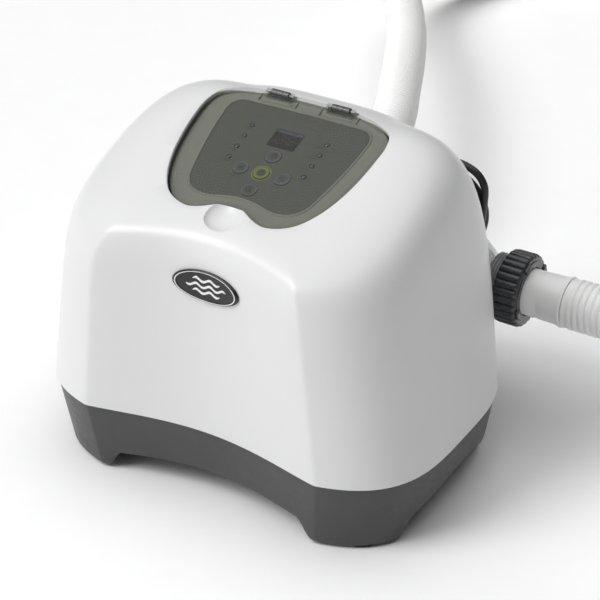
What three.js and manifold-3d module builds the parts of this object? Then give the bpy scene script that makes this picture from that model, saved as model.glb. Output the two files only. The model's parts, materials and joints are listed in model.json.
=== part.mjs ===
// Saltwater chlorine generator for an above-ground pool, as a three.js scene.
// Millimetres, +Z up, front towards -Y. The case is described in its own frame, with
// X = 0 on its centre plane, and the whole group is centred over the origin at the end.
import * as THREE from 'three';
import { mergeVertices } from 'three/addons/utils/BufferGeometryUtils.js';
import Module from 'manifold-3d';

const wasm = await Module();
wasm.setup();

// ---------- driving dimensions ----------
const GAP = 0.3;                 // clearance between touching pieces
// case
const HALF_WIDTH = 183;
const FRONT_DEPTH = 128;
const REAR_DEPTH = 136;
const PLAN_POWER = 3.5;          // squareness of the case seen from above
const SEAM_Z = 68;               // joint between grey base and white top
const CROWN = 215;               // height of the top above the seam, over the centre
const SLOPE = 0.36;              // rise of the top towards the rear
const SIDE_TAPER = 0.16;        // how much the top narrows up to its crown, sideways
const FRONT_HOLLOW = 25;         // how deep the front face curves in
const HOLLOW_HALF_WIDTH = 112;
const WALL = 3;
const FLOOR_Z = 37;              // underside of the base's floor plate
const BASE_TAPER_X = 0.055;      // how much the base narrows down to the ground, sideways
const BASE_TAPER_Y = 0.085;      // and front to back
const FOOT_PAD = 3;              // rubber pads lift the case by this much
// control deck, in the plane of the sloping top
const DECK_Z = 276.5;
const DECK_TILT = Math.atan(SLOPE);
const LID_TOP = 7;               // lid's outer face above the membrane
const LID_THICK = 2.4;
const HINGE_V = 66;
const HINGE_W = 3.4;
const KNUCKLE_X = 29;
const BUTTON_STEP = 19.7;
const BUTTON_V = -18;
// electrolytic cell and its unions
const CELL_Y = 177;
const CELL_Z = 109;
const CELL_R = 21;
const CELL_BORE = 17.5;
const CELL_LEFT = -122;
const OUTLET_END = 141;          // X of the outlet's rim
const INLET_X = -89;
const INLET_END = 228;           // Y of the inlet's rim
const COLLAR_R = 27.5;
const COLLAR_LENGTH = 21;
const NUT_R = 33.5;
const NUT_LENGTH = 24;
const NUT_RIBS = 28;
const HOSE_R = 23;
const CUFF_LENGTH = 50;
const HOSE_LOOP_R = 250;
// mains cord
const CORD_D = 6.6;
const COIL_X = 83.5;
const COIL_Y = 145.7;
const COIL_Z = 184.5;
const COIL_R = 40.5;
const COIL_DEPTH = 19.8;

// ---------- materials ----------
const finish = (color, roughness, metalness = 0, more = {}) =>
  new THREE.MeshStandardMaterial({ color, roughness, metalness, ...more });
const WHITE = finish(0xf1f1f1, 0.25);
const GREY = finish(0x4b4c4d, 0.6);
const BLACK = finish(0x16171a, 0.4);
const DECK = finish(0x7f8279, 0.5);
const MEMBRANE = finish(0x646961, 0.45);
const SMOKE = finish(0x9aa096, 0.08, 0, { transparent: true, opacity: 0.35 });
const CLEAR = finish(0xc9cccb, 0.1, 0, { transparent: true, opacity: 0.6 });
const HOSE = finish(0xf4f4f2, 0.4);
const RUBBER = finish(0x202122, 0.8);
const STEEL = finish(0xb9bcc0, 0.35, 0.9);
const BRASS = finish(0xc49a45, 0.35, 0.9);
const COPPER = finish(0xb06a34, 0.4, 0.6);
const BOARD = finish(0x1f5b3a, 0.5);

// ---------- solid helpers ----------
function solid(geometry) {
  const g = geometry.clone();
  for (const name of Object.keys(g.attributes)) {
    if (name !== 'position') g.deleteAttribute(name);
  }
  const m = mergeVertices(g, 1e-4);
  return new wasm.Manifold(new wasm.Mesh({
    numProp: 3,
    vertProperties: new Float32Array(m.attributes.position.array),
    triVerts: new Uint32Array(m.index.array),
  }));
}

function geometryOf(manifold) {
  const m = manifold.getMesh();
  const g = new THREE.BufferGeometry();
  g.setAttribute('position', new THREE.BufferAttribute(m.vertProperties, 3));
  g.setIndex(new THREE.BufferAttribute(m.triVerts, 1));
  return g;
}

const cut = (body, ...tools) =>
  geometryOf(tools.reduce((s, t) => s.subtract(solid(t)), solid(body)));
const join = (...pieces) =>
  geometryOf(pieces.map(solid).reduce((a, b) => a.add(b)));

function at(geometry, x, y, z) {
  return geometry.translate(x, y, z);
}

const box = (w, d, h, x = 0, y = 0, z = 0) => at(new THREE.BoxGeometry(w, d, h), x, y, z);

// cylinder standing on z = 0, along +Z
function rod(radius, length, sides = 16) {
  return new THREE.CylinderGeometry(radius, radius, length, sides)
    .rotateX(Math.PI / 2).translate(0, 0, length / 2);
}

const alongX = (geometry) => geometry.rotateY(Math.PI / 2);
const alongY = (geometry) => geometry.rotateX(-Math.PI / 2);

// closed profile of [radius, height] turned about Z
function turned(profile, sides = 24) {
  const points = profile.map(([r, z]) => new THREE.Vector2(r, z));
  return new THREE.LatheGeometry(points, sides).rotateX(Math.PI / 2);
}

const sleeve = (inner, outer, length, sides = 22) =>
  turned([[inner, 0], [outer, 0], [outer, length], [inner, length], [inner, 0]], sides);

const plate = (shape, thick, curve = 4) =>
  new THREE.ExtrudeGeometry(shape, { depth: thick, bevelEnabled: false, curveSegments: curve });

function roundedRect(w, h, r) {
  const s = new THREE.Shape();
  s.moveTo(-w / 2 + r, -h / 2);
  s.lineTo(w / 2 - r, -h / 2);
  s.absarc(w / 2 - r, -h / 2 + r, r, -Math.PI / 2, 0);
  s.absarc(w / 2 - r, h / 2 - r, r, 0, Math.PI / 2);
  s.absarc(-w / 2 + r, h / 2 - r, r, Math.PI / 2, Math.PI);
  s.absarc(-w / 2 + r, -h / 2 + r, r, Math.PI, 1.5 * Math.PI);
  return s;
}

const root = new THREE.Group();
const unit = new THREE.Group();
const cords = new THREE.Group();   // hoses and mains cord
root.add(unit, cords);

function add(name, geometry, material, parent = unit) {
  const mesh = new THREE.Mesh(geometry, material);
  mesh.name = name;
  parent.add(mesh);
  return mesh;
}

// ---------- case surface ----------
const smooth = (x) => {
  const t = Math.min(1, Math.max(0, x));
  return t * t * (3 - 2 * t);
};
const mix = (a, b, t) => a + (b - a) * t;

// distance from the axis to the plan outline in a direction, for an inset case
function planRadius(angle, inset) {
  const reach = Math.sin(angle) < 0 ? FRONT_DEPTH : REAR_DEPTH;
  const c = Math.abs(Math.cos(angle)) / (HALF_WIDTH - inset);
  const s = Math.abs(Math.sin(angle)) / (reach - inset);
  return (c ** PLAN_POWER + s ** PLAN_POWER) ** (-1 / PLAN_POWER);
}

// how far the front face is drawn in at a place across the outline
function hollow(x, y, scale) {
  if (y > 0 || Math.abs(x) > HOLLOW_HALF_WIDTH) return 0;
  return FRONT_HOLLOW * (1 - (x / HOLLOW_HALF_WIDTH) ** 2) ** 1.2 * smooth((scale - 0.55) / 0.4);
}

// squareness of the shoulder: sharp over the front and the sides, rounder at the rear
function shoulderPower(angle) {
  return mix(9, 3.3, smooth(Math.sin(angle) * 1.2 + 0.1));
}

const SIDES = 52;

// ring of the top's surface; rise runs from 0 at the seam to a quarter turn at the crown
function topRing(rise, inset) {
  const ring = [];
  for (let i = 0; i < SIDES; i++) {
    const angle = (i / SIDES) * 2 * Math.PI;
    const power = shoulderPower(angle);
    const c = Math.cos(rise);
    const s = Math.sin(rise);
    const reach = (c ** power + s ** power) ** (-1 / power);
    const scale = c * reach;
    const r = planRadius(angle, inset);
    const x = r * Math.cos(angle);
    const y = r * Math.sin(angle);
    const px = x * scale * (1 - SIDE_TAPER * s * reach);
    const py = (y + hollow(x, y, scale)) * scale;
    ring.push([px, py, SEAM_Z + s * reach * (CROWN - inset + SLOPE * py)]);
  }
  return ring;
}

function baseRing(z, inset) {
  const drop = 1 - z / SEAM_Z;
  const ring = [];
  for (let i = 0; i < SIDES; i++) {
    const angle = (i / SIDES) * 2 * Math.PI;
    const r = planRadius(angle, inset);
    const x = r * Math.cos(angle);
    const y = r * Math.sin(angle);
    ring.push([x * (1 - BASE_TAPER_X * drop), (y + hollow(x, y, 1)) * (1 - BASE_TAPER_Y * drop), z]);
  }
  return ring;
}

// closes a stack of rings, from the lowest to the highest, into a solid
function loft(rings) {
  const n = rings[0].length;
  const positions = rings.flat(2);
  const faces = [];
  for (let k = 0; k + 1 < rings.length; k++) {
    for (let i = 0; i < n; i++) {
      const a = k * n + i;
      const b = k * n + (i + 1) % n;
      faces.push(a, b, b + n, a, b + n, a + n);
    }
  }
  const centre = (ring) => [0, 1, 2].map((k) => ring.reduce((t, p) => t + p[k], 0) / n);
  const bottom = rings.length * n;
  positions.push(...centre(rings[0]), ...centre(rings[rings.length - 1]));
  const last = (rings.length - 1) * n;
  for (let i = 0; i < n; i++) {
    faces.push(bottom, (i + 1) % n, i);
    faces.push(bottom + 1, last + i, last + (i + 1) % n);
  }
  const g = new THREE.BufferGeometry();
  g.setAttribute('position', new THREE.Float32BufferAttribute(positions, 3));
  g.setIndex(faces);
  return g;
}

const RISES = [0, 18, 32, 40, 45, 50, 57, 68, 82];

function topSolid(inset, skirt) {
  const rings = RISES.map((d) => topRing(THREE.MathUtils.degToRad(d), inset));
  if (skirt) rings.unshift(rings[0].map(([x, y, z]) => [x, y, z - skirt]));
  return loft(rings);
}

// ---------- control deck outlines, seen square to the deck ----------
// half of the lid's edge from the finger notch round to the hinge
function lidShape(grow = 0) {
  const s = new THREE.Shape();
  const half = [[0, -66], [11, -67.5], [22, -71.5], [34, -73], [47, -70.5], [59, -63],
    [69, -49], [77, -29], [82, -6], [84.5, 18], [84.5, 38], [80, 51], [68, 58.5], [46, 64]];
  const points = half.map(([x, y]) => new THREE.Vector2(x, y));
  const mirrored = half.slice(1).reverse().map(([x, y]) => new THREE.Vector2(-x, y));
  const curve = new THREE.CatmullRomCurve3(
    [...points, ...mirrored].map((p) => {
      const k = 1 + grow / p.length();
      return new THREE.Vector3(p.x * k, p.y * k, 0);
    }), true, 'centripetal');
  const ring = curve.getPoints(36).slice(0, -1);
  s.moveTo(ring[0].x, ring[0].y);
  ring.slice(1).forEach((p) => s.lineTo(p.x, p.y));
  return s;
}

function membraneShape(grow = 0) {
  const s = new THREE.Shape();
  const half = [[0, -47], [14, -49], [32, -53], [46, -50], [54, -41], [59, -22],
    [63.5, 4], [66, 28], [66, 44], [60, 51.5], [40, 53]];
  const mirrored = half.slice(1).reverse().map(([x, y]) => [-x, y]);
  const curve = new THREE.CatmullRomCurve3([...half, ...mirrored].map(([x, y]) => {
    const k = 1 + grow / Math.hypot(x, y);
    return new THREE.Vector3(x * k, y * k, 0);
  }), true, 'centripetal');
  const ring = curve.getPoints(28).slice(0, -1);
  s.moveTo(ring[0].x, ring[0].y);
  ring.slice(1).forEach((p) => s.lineTo(p.x, p.y));
  return s;
}

// puts geometry drawn in deck coordinates (x, up the slope, outwards) into the case frame
const onDeck = (geometry) => geometry.rotateX(DECK_TILT).translate(0, 0, DECK_Z);

const LED_X = 35.5;
const LED_V = [28.3, 15.5, 2.7, -10.1];
const BUTTONS = {
  button_top: [0, BUTTON_V + BUTTON_STEP],
  button_left: [-BUTTON_STEP, BUTTON_V],
  button_power: [0, BUTTON_V],
  button_right: [BUTTON_STEP, BUTTON_V],
  button_bottom: [0, BUTTON_V - BUTTON_STEP],
};
const BUTTON_R = 7;
const DISPLAY = { v: 22, w: 25, h: 19.5 };

// ---------- case ----------
function makeBase() {
  const outer = loft([baseRing(FOOT_PAD, 1), baseRing(30, 1), baseRing(SEAM_Z - 0.6, 1)]);
  const inner = loft([baseRing(FLOOR_Z + WALL, 1 + WALL), baseRing(SEAM_Z + 5, 1 + WALL)]);
  // arches between the four corner feet, a tunnel each way
  const arch = (half, low, high, length) => {
    const s = new THREE.Shape();
    s.moveTo(-half, -10);
    s.lineTo(-half, FOOT_PAD);
    s.lineTo(-half + 14, low);
    s.quadraticCurveTo(0, high * 2 - low, half - 14, low);
    s.lineTo(half, FOOT_PAD);
    s.lineTo(half, -10);
    return plate(s, length, 8).translate(0, 0, -length / 2);
  };
  const acrossFront = alongY(arch(103, 19, 23, 420)).rotateY(Math.PI);
  const acrossSide = alongY(arch(80, 22, 33, 500)).rotateY(Math.PI).rotateZ(Math.PI / 2)
    .translate(0, 5, 0);
  const screwHoles = FEET.map(([x, y]) => rod(3.2, 60).translate(x, y, -10));
  const heads = FEET.map(([x, y]) => rod(6.5, 16).translate(x, y, -4));
  return cut(outer, inner, acrossFront, acrossSide, ...screwHoles, ...heads);
}

const FEET = [[-134, -82], [134, -82], [134, 92], [-134, 92]];

function makeFoot() {
  return sleeve(7.5, 14, FOOT_PAD - GAP, 16);
}

function makeTop() {
  const inner = topSolid(WALL, 5);
  const pocket = onDeck(plate(lidShape(0.8), 60).translate(0, 0, -14));
  const pads = [-1, 1].map((side) => onDeck(box(27.4, 13, 40, side * KNUCKLE_X, 64.2, 6)));
  const glandHole = alongY(rod(6.4, 60)).translate(GLAND.x, 90, GLAND.z);
  // shallow thumb scoop below the lid's notch, with the wall carried round behind it
  const bowl = (r) => onDeck(new THREE.SphereGeometry(r, 20, 14).scale(1, 1, 0.62)
    .translate(0, -72, LID_TOP + 2.5));
  return cut(topSolid(0, 0), cut(inner, bowl(22)), pocket, ...pads, glandHole, bowl(17));
}

const GLAND = { x: 32, z: 227 };

// Y of the case's front face at a place on it
function frontY(x, z) {
  const power = shoulderPower(-Math.PI / 2);
  let y = -FRONT_DEPTH;
  for (let k = 0; k < 8; k++) {
    const up = (z - SEAM_Z) / (CROWN + SLOPE * y);
    const scale = (1 - up ** power) ** (1 / power);
    const wide = x / (scale * (1 - SIDE_TAPER * up));
    y = (-FRONT_DEPTH + hollow(wide, -1, scale)) * scale;
  }
  return y;
}

function makeBadge() {
  // oval plaque that follows the hollow front
  const rows = 4;
  const columns = 20;
  const face = (depth) => {
    const points = [];
    for (let i = 0; i <= rows; i++) {
      for (let j = 0; j < columns; j++) {
        const a = (j / columns) * 2 * Math.PI;
        const r = i / rows;
        const x = BADGE.x + BADGE.halfWidth * r * Math.cos(a);
        const z = BADGE.z + BADGE.halfHeight * r * Math.sin(a);
        points.push([x, frontY(x, z) - BADGE.gap - depth, z]);
      }
    }
    return points;
  };
  const front = face(2.4);
  const back = face(0);
  const points = [...front, ...back];
  const faces = [];
  const n = front.length;
  for (let i = 0; i < rows; i++) {
    for (let j = 0; j < columns; j++) {
      const a = i * columns + j;
      const b = i * columns + (j + 1) % columns;
      const c = a + columns;
      const d = b + columns;
      if (i > 0) faces.push(a, d, b, n + a, n + b, n + d);
      faces.push(a, c, d, n + a, n + d, n + c);
    }
  }
  for (let j = 0; j < columns; j++) {
    const a = rows * columns + j;
    const b = rows * columns + (j + 1) % columns;
    faces.push(a, n + b, b, a, n + a, n + b);
  }
  const g = new THREE.BufferGeometry();
  g.setAttribute('position', new THREE.Float32BufferAttribute(points.flat(), 3));
  g.setIndex(faces);
  g.deleteAttribute('normal');
  return mergeVertices(g, 1e-3);
}

const BADGE = { x: 3, z: 209, halfWidth: 31.5, halfHeight: 13.5, gap: 0.6 };

// ---------- deck pieces ----------
function makeBezel() {
  const tray = plate(lidShape(-0.2), 6).translate(0, 0, -6);
  const recess = plate(membraneShape(0.3), 5).translate(0, 0, -1.2);
  const window = plate(roundedRect(DISPLAY.w - 3, DISPLAY.h - 3, 1), 30)
    .translate(0, DISPLAY.v, -15);
  const wells = Object.values(BUTTONS).flatMap(([x, v]) => [
    rod(BUTTON_R - 1.4, 30, 8).translate(x, v, -15),
    rod(BUTTON_R + 0.3, 10, 14).translate(x, v, -2.6)]);
  const lights = [-LED_X, LED_X].flatMap((x) => LED_V.map((v) => rod(2, 30, 6).translate(x, v, -15)));
  const knuckles = [-1, 1].map((side) => {
    const pad = box(26.4, 12, 6, side * KNUCKLE_X, 64, -3);
    const block = box(17, 6, 7, side * KNUCKLE_X, HINGE_V, HINGE_W - 3.5);
    const barrel = alongX(rod(3, 17, 16)).translate(side * KNUCKLE_X - 8.5, HINGE_V, HINGE_W);
    return join(pad, block, barrel);
  });
  const pins = [-1, 1].map((side) =>
    alongX(rod(1.4, 40, 12)).translate(side * KNUCKLE_X - 20, HINGE_V, HINGE_W));
  const bed = cut(tray, recess, window, ...wells, ...lights);
  return onDeck(cut(join(bed, ...knuckles), ...pins));
}

function makeMembrane() {
  const skin = plate(membraneShape(0), 0.9).translate(0, 0, -0.9);
  const window = plate(roundedRect(DISPLAY.w + 0.6, DISPLAY.h + 0.6, 1), 4)
    .translate(0, DISPLAY.v, -2);
  const holes = Object.values(BUTTONS).map(([x, v]) => rod(BUTTON_R + 0.3, 4, 14).translate(x, v, -2));
  const lights = [-LED_X, LED_X].flatMap((x) =>
    LED_V.map((v) => rod(2.1, 4, 6).translate(x, v, -2)));
  return onDeck(cut(skin, window, ...holes, ...lights));
}

function makeDisplayWindow() {
  const face = plate(roundedRect(DISPLAY.w, DISPLAY.h, 1), 1).translate(0, DISPLAY.v, -0.9);
  return onDeck(face);
}

function makeButton([x, v]) {
  const cap = rod(BUTTON_R, 1.5, 14).translate(x, v, -0.9);
  const stem = rod(BUTTON_R - 2, 5.8, 8).translate(x, v, -6.2);
  return onDeck(join(cap, stem));
}

function makeLightPipes(side) {
  const bar = box(4, 44, 2.4, side * LED_X, 9.1, -7.6);
  const pipes = LED_V.map((v) => rod(1.5, 7.4, 6).translate(side * LED_X, v, -7.2));
  return onDeck(join(bar, ...pipes));
}

function makeControlBoard() {
  const board = plate(roundedRect(112, 92, 4), 1.6).translate(0, 0, -14);
  const switches = Object.values(BUTTONS).map(([x, v]) => box(8, 8, 5.2, x, v, -10.1));
  return onDeck(join(board, ...switches));
}

function makeDisplayModule() {
  const shell = box(DISPLAY.w - 4, DISPLAY.h - 4, 10.8, 0, DISPLAY.v, -6.6);
  return onDeck(shell);
}

// ---------- lid ----------
function makeLid() {
  const body = plate(lidShape(-0.4), LID_TOP - 0.6).translate(0, 0, 0.6);
  const inside = plate(lidShape(-3), LID_TOP - LID_THICK - 0.6 + 5).translate(0, 0, 0.6 - 5);
  const room = [-1, 1].map((side) => box(17.8, 14, 20, side * KNUCKLE_X, HINGE_V + 1, HINGE_W + 1));
  const shell = cut(body, inside, ...room);
  const lugs = [-1, 1].flatMap((side) => [-1, 1].map((end) => {
    const x = side * KNUCKLE_X + end * 11;
    const ear = alongX(rod(2.9, 3.6, 18)).translate(x - 1.8, HINGE_V, HINGE_W);
    return join(ear, box(3.6, 5.8, 3, x, HINGE_V - 2.9, HINGE_W + 1.2));
  }));
  const pins = [-1, 1].map((side) =>
    alongX(rod(1.5, 40, 18)).translate(side * KNUCKLE_X - 20, HINGE_V, HINGE_W));
  return onDeck(cut(join(shell, ...lugs), ...pins));
}

const makeHingePin = (side) =>
  onDeck(alongX(rod(1.1, 24.6, 12)).translate(side * KNUCKLE_X - 12.3, HINGE_V, HINGE_W));

// ---------- inside the case ----------
const DECKING = FLOOR_Z + WALL + GAP;   // top of the base's floor

function makeCore() {
  const core = box(66, 30, 56, -78, -6, DECKING + 28);
  const windows = [-1, 1].map((side) => box(11, 40, 34, -78 + side * 16.5, -6, DECKING + 28));
  const plateFoot = box(92, 34, 2, -78, -6, DECKING + 1);
  return cut(join(core, plateFoot), ...windows);
}

function makeWinding() {
  const outer = box(42, 54, 32, -78, -6, DECKING + 28);
  return cut(outer, box(22.6, 31, 40, -78, -6, DECKING + 28));
}

function makePowerBoard() {
  const board = box(108, 96, 1.6, 40, -2, DECKING + 11);
  const posts = [-1, 1].flatMap((i) => [-1, 1].map((j) =>
    rod(3.5, 10.6, 12).translate(40 + i * 49, -2 + j * 43, DECKING)));
  const relay = box(28, 12, 15, 64, -32, DECKING + 19);
  const capacitor = rod(9, 30, 20).translate(12, -32, DECKING + 11);
  const choke = rod(11, 14, 20).translate(40, -34, DECKING + 11);
  return join(board, ...posts, relay, capacitor, choke);
}

function makeHeatSink() {
  const foot = box(70, 34, 4, 45, 22, DECKING + 14.2);
  const fins = Array.from({ length: 8 }, (_, k) =>
    box(2, 34, 30, 13 + k * 9.1, 22, DECKING + 30));
  return join(foot, ...fins);
}

function makeTerminalBlock() {
  const body = box(40, 14, 12, -12 + 48 - 36 - 30, 60, DECKING + 6);
  const ways = Array.from({ length: 4 }, (_, k) =>
    rod(2.4, 10, 12).translate(-45 + k * 10, 60, DECKING + 6));
  return cut(body, ...ways);
}

// ---------- cell ----------
const BRANCH = { x: 120, r: 18.5, bore: 15, length: 51 };

// cylinder that leaves the cell's axis up and to the left
const branchRod = (radius, length, start = 0) =>
  rod(radius, length, 20).translate(0, 0, start).rotateY(-Math.PI / 4)
    .translate(BRANCH.x, CELL_Y, CELL_Z);

function makeCellHousing() {
  const length = OUTLET_END - CELL_LEFT;
  const main = alongX(rod(CELL_R, length, 26)).translate(CELL_LEFT, CELL_Y, CELL_Z);
  const inlet = alongY(rod(CELL_R, INLET_END - CELL_Y, 26)).translate(INLET_X, CELL_Y, CELL_Z);
  const bores = [
    alongX(rod(CELL_BORE, length + 20, 20)).translate(CELL_LEFT - 10, CELL_Y, CELL_Z),
    alongY(rod(CELL_BORE, INLET_END - CELL_Y + 10, 20)).translate(INLET_X, CELL_Y, CELL_Z),
    branchRod(BRANCH.bore, BRANCH.length + 10, 14),
  ];
  return cut(join(main, inlet, branchRod(BRANCH.r, BRANCH.length)), ...bores);
}

// threaded collar bonded over a port, drawn along +Z from its inner end
function collarProfile() {
  return [[CELL_R + GAP, 0], [CELL_R + 3, 0], [COLLAR_R, 3], [COLLAR_R, COLLAR_LENGTH - 1],
    [COLLAR_R - 1, COLLAR_LENGTH], [CELL_R + GAP, COLLAR_LENGTH], [CELL_R + GAP, 0]];
}

const outletSide = (geometry, x) => alongX(geometry).translate(x, CELL_Y, CELL_Z);
const inletSide = (geometry, y) => alongY(geometry).translate(INLET_X, y, CELL_Z);

// ribbed union nut along +Z, open towards the collar at z = 0
function makeNut() {
  const s = new THREE.Shape();
  const steps = 2;
  for (let k = 0; k < NUT_RIBS * steps; k++) {
    const a = (k / (NUT_RIBS * steps)) * 2 * Math.PI;
    const r = NUT_R - (k % steps) * 1.6;
    if (k === 0) s.moveTo(r * Math.cos(a), r * Math.sin(a));
    else s.lineTo(r * Math.cos(a), r * Math.sin(a));
  }
  const body = plate(s, NUT_LENGTH);
  const thread = rod(COLLAR_R + 0.8, NUT_LENGTH - 6.5 + 5, 22).translate(0, 0, -5);
  const mouth = rod(HOSE_R + 1.1, 60, 22).translate(0, 0, -10);
  return cut(body, thread, mouth);
}

// hose cuff along +Z with the flange that the nut holds
function makeCuff() {
  return turned([[HOSE_R - 4, 0], [COLLAR_R - 0.6, 0], [COLLAR_R - 0.6, 4], [HOSE_R + 0.3, 4.6],
    [HOSE_R + 0.3, CUFF_LENGTH - 1], [HOSE_R - 0.5, CUFF_LENGTH], [HOSE_R - 4, CUFF_LENGTH],
    [HOSE_R - 4, 0]], 16);
}

const NUT_START = -8;            // the nut overlaps the collar by this much
const makeSeal = () => sleeve(CELL_BORE + 1, CELL_R + 3, 2, 16);
const SEAL_AT = GAP;
const CUFF_AT = 2 + 2 * GAP;

function makeElectrodes() {
  const plates = [-9, -3, 3, 9].map((z) =>
    box(110, 22 - Math.abs(z) * 0.5, 1, -10, CELL_Y, CELL_Z + z));
  const bar = box(6, 8, 22, -62, CELL_Y, CELL_Z);
  const posts = [-5, 5].map((y) =>
    alongX(rod(1.5, -58 - CELL_LEFT, 8)).translate(CELL_LEFT, CELL_Y + y * 0.5, CELL_Z));
  return join(...plates, bar, ...posts);
}

function makeElectrodeCap() {
  const cap = turned([[0, 0], [CELL_R + 4, 0], [CELL_R + 4, 13], [CELL_R + GAP, 13],
    [CELL_R + GAP, 4], [0, 4]], 20);
  const terminal = box(10, 16, 8, 0, 0, -3);
  return join(cap, terminal).rotateY(Math.PI / 2).translate(CELL_LEFT - 4.3, CELL_Y, CELL_Z);
}

function makeSensorCap() {
  const plug = turned([[0, -4], [BRANCH.bore - GAP, -4], [BRANCH.bore - GAP, GAP],
    [BRANCH.r + 2, GAP], [BRANCH.r + 2, 5], [7, 5], [7, 8], [0, 8]], 20);
  return plug.translate(0, 0, BRANCH.length).rotateY(-Math.PI / 4)
    .translate(BRANCH.x, CELL_Y, CELL_Z);
}

const PADDLE = { x: 88, z: 115 };

function makePaddle() {
  const blade = box(1.6, 18, 17, PADDLE.x, CELL_Y, PADDLE.z - 10.5);
  const eye = new THREE.CylinderGeometry(2.6, 2.6, 18, 16).translate(PADDLE.x, CELL_Y, PADDLE.z);
  const hole = new THREE.CylinderGeometry(1.3, 1.3, 30, 16).translate(PADDLE.x, CELL_Y, PADDLE.z);
  return cut(join(blade, eye), hole);
}

const makePaddlePin = () =>
  new THREE.CylinderGeometry(1, 1, 30, 10).translate(PADDLE.x, CELL_Y, PADDLE.z);

// saddle that hangs the cell on the base's rear wall
function makeBracket(shelf) {
  const ring = alongX(rod(CELL_R + 5, 14, 20)).translate(-7, CELL_Y, CELL_Z);
  const hole = alongX(rod(CELL_R + GAP, 30, 22)).translate(-15, CELL_Y, CELL_Z);
  const top = shelf ? SHELF_Z : 136;
  const back = box(14, 4, top - 24, 0, BRACKET_Y, (top + 24) / 2);
  const arm = box(14, 24, 8, 0, BRACKET_Y + 10, CELL_Z);
  const pieces = [ring, back, arm];
  if (shelf) pieces.push(box(14, 24, 4, 0, BRACKET_Y + 10, SHELF_Z - 2));
  const screw = alongY(rod(2.2, 30, 12)).translate(0, 120, 48);
  return cut(join(...pieces), hole, screw);
}

// keeps a piece clear of the slanted branch and its cap
const clearOfBranch = (geometry) =>
  cut(geometry, branchRod(BRANCH.r + GAP, BRANCH.length), branchRod(BRANCH.r + 3.5, 14, BRANCH.length - 3));

const BRACKET_Y = REAR_DEPTH + GAP + 2;
const SHELF_Z = COIL_Z - COIL_R - 0.6;

// ---------- hoses and cord ----------
function tube(points, radius, steps, sides) {
  const curve = new THREE.CatmullRomCurve3(points.map((p) => new THREE.Vector3(...p)));
  const s = new THREE.Shape();
  for (let k = 0; k < sides; k++) {
    const a = ((k + 0.5) / sides) * 2 * Math.PI;
    const r = radius;
    if (k === 0) s.moveTo(r * Math.cos(a), r * Math.sin(a));
    else s.lineTo(r * Math.cos(a), r * Math.sin(a));
  }
  return new THREE.ExtrudeGeometry(s, { steps, bevelEnabled: false, extrudePath: curve });
}

// points of an arc on the ground, from a heading, turning left or right; its end rises
// because the nut there is fatter than the hose
function groundArc([x, y], heading, turn, z, count) {
  const side = Math.sign(turn);
  const cx = x - side * HOSE_LOOP_R * Math.sin(heading);
  const cy = y + side * HOSE_LOOP_R * Math.cos(heading);
  return Array.from({ length: count }, (_, k) => {
    const a = heading + turn * ((k + 1) / count);
    const lift = END_LIFT * smooth((k + 4 - count) / 3);
    return [cx + side * HOSE_LOOP_R * Math.sin(a), cy - side * HOSE_LOOP_R * Math.cos(a), z + lift];
  });
}

const GROUND = HOSE_R + 0.6;
const END_LIFT = NUT_R - HOSE_R;
const OUTLET_HOSE_X = OUTLET_END + CUFF_AT + CUFF_LENGTH + GAP;
const INLET_HOSE_Y = INLET_END + CUFF_AT + CUFF_LENGTH + GAP;
const outletRoute = [
  [OUTLET_HOSE_X, CELL_Y, CELL_Z], [226, 177, 109], [262, 178, 107.9], [299.5, 184, 104.6],
  [342, 199, 96.9], [386, 224, 83.6], [429, 263, 64.9], [461, 310, 46.1], [481.5, 362, 31.8],
  [489.5, 417, 25.1], [490, 468, GROUND], [488.5, 530, GROUND], [486.5, 600, GROUND],
  [486, 670, GROUND], [486.5, 740, GROUND], [488.5, 815, GROUND], [490, 892, GROUND],
];
const inletRoute = [
  [INLET_X, INLET_HOSE_Y, CELL_Z], [-89, 305, 109], [-91.5, 337, 109], [-99, 375, 109],
  [-116, 425, 108.4], [-145, 490, 106.8], [-177, 560, 103.5], [-212, 630, 99.1], [-249, 695, 93.6],
  [-288, 760, 84.7], [-319, 826, 70.4], [-329, 905, 51.6], [-313, 983, 35.1], [-274, 1051, 25.7],
  [-237, 1088, GROUND],
];
const outletHeading = Math.atan2(76, 2);
const inletHeading = Math.atan2(13, 16);
const outletLoop = groundArc([490, 892], outletHeading, 1.72, GROUND, 12);
const inletLoop = groundArc([-237, 1088], inletHeading, -1.96, GROUND, 11);

// frame at the end of a hose, +Z along it
function endOf(points, geometry) {
  const last = new THREE.Vector3(...points[points.length - 1]);
  const before = new THREE.Vector3(...points[points.length - 2]);
  const curve = new THREE.CatmullRomCurve3(points.map((p) => new THREE.Vector3(...p)));
  const along = curve.getTangent(1).normalize();
  if (before.distanceTo(last) === 0) throw new Error('a route needs separate points');
  const turn = new THREE.Quaternion().setFromUnitVectors(new THREE.Vector3(0, 0, 1), along);
  return geometry.applyQuaternion(turn).translate(last.x, last.y, last.z);
}

// cuff and nut of a hose's free end; the flange is outermost
const farCuff = () => makeCuff().rotateX(Math.PI).translate(0, 0, CUFF_LENGTH + GAP);
const farNut = () => makeNut().rotateX(Math.PI).translate(0, 0, CUFF_LENGTH + GAP + 11);

const leadRoute = [
  [50, 143, 229.5], [60, 143.8, 231.2], [72, 144.6, 232], [84, 145.2, 232.2],
  [95, 145.6, 231.4], [104.5, 145.8, 228.4], [112, 145.9, 223], [117, 145.9, 216],
  [119.3, 145.8, 210],
];
const tailRoute = [
  [58.5, 146.6, 145.2], [54, 147, 142.2], [49.5, 147.6, 138], [44, 148, 134.4],
  [37.4, 148.2, 132.2],
];

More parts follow.
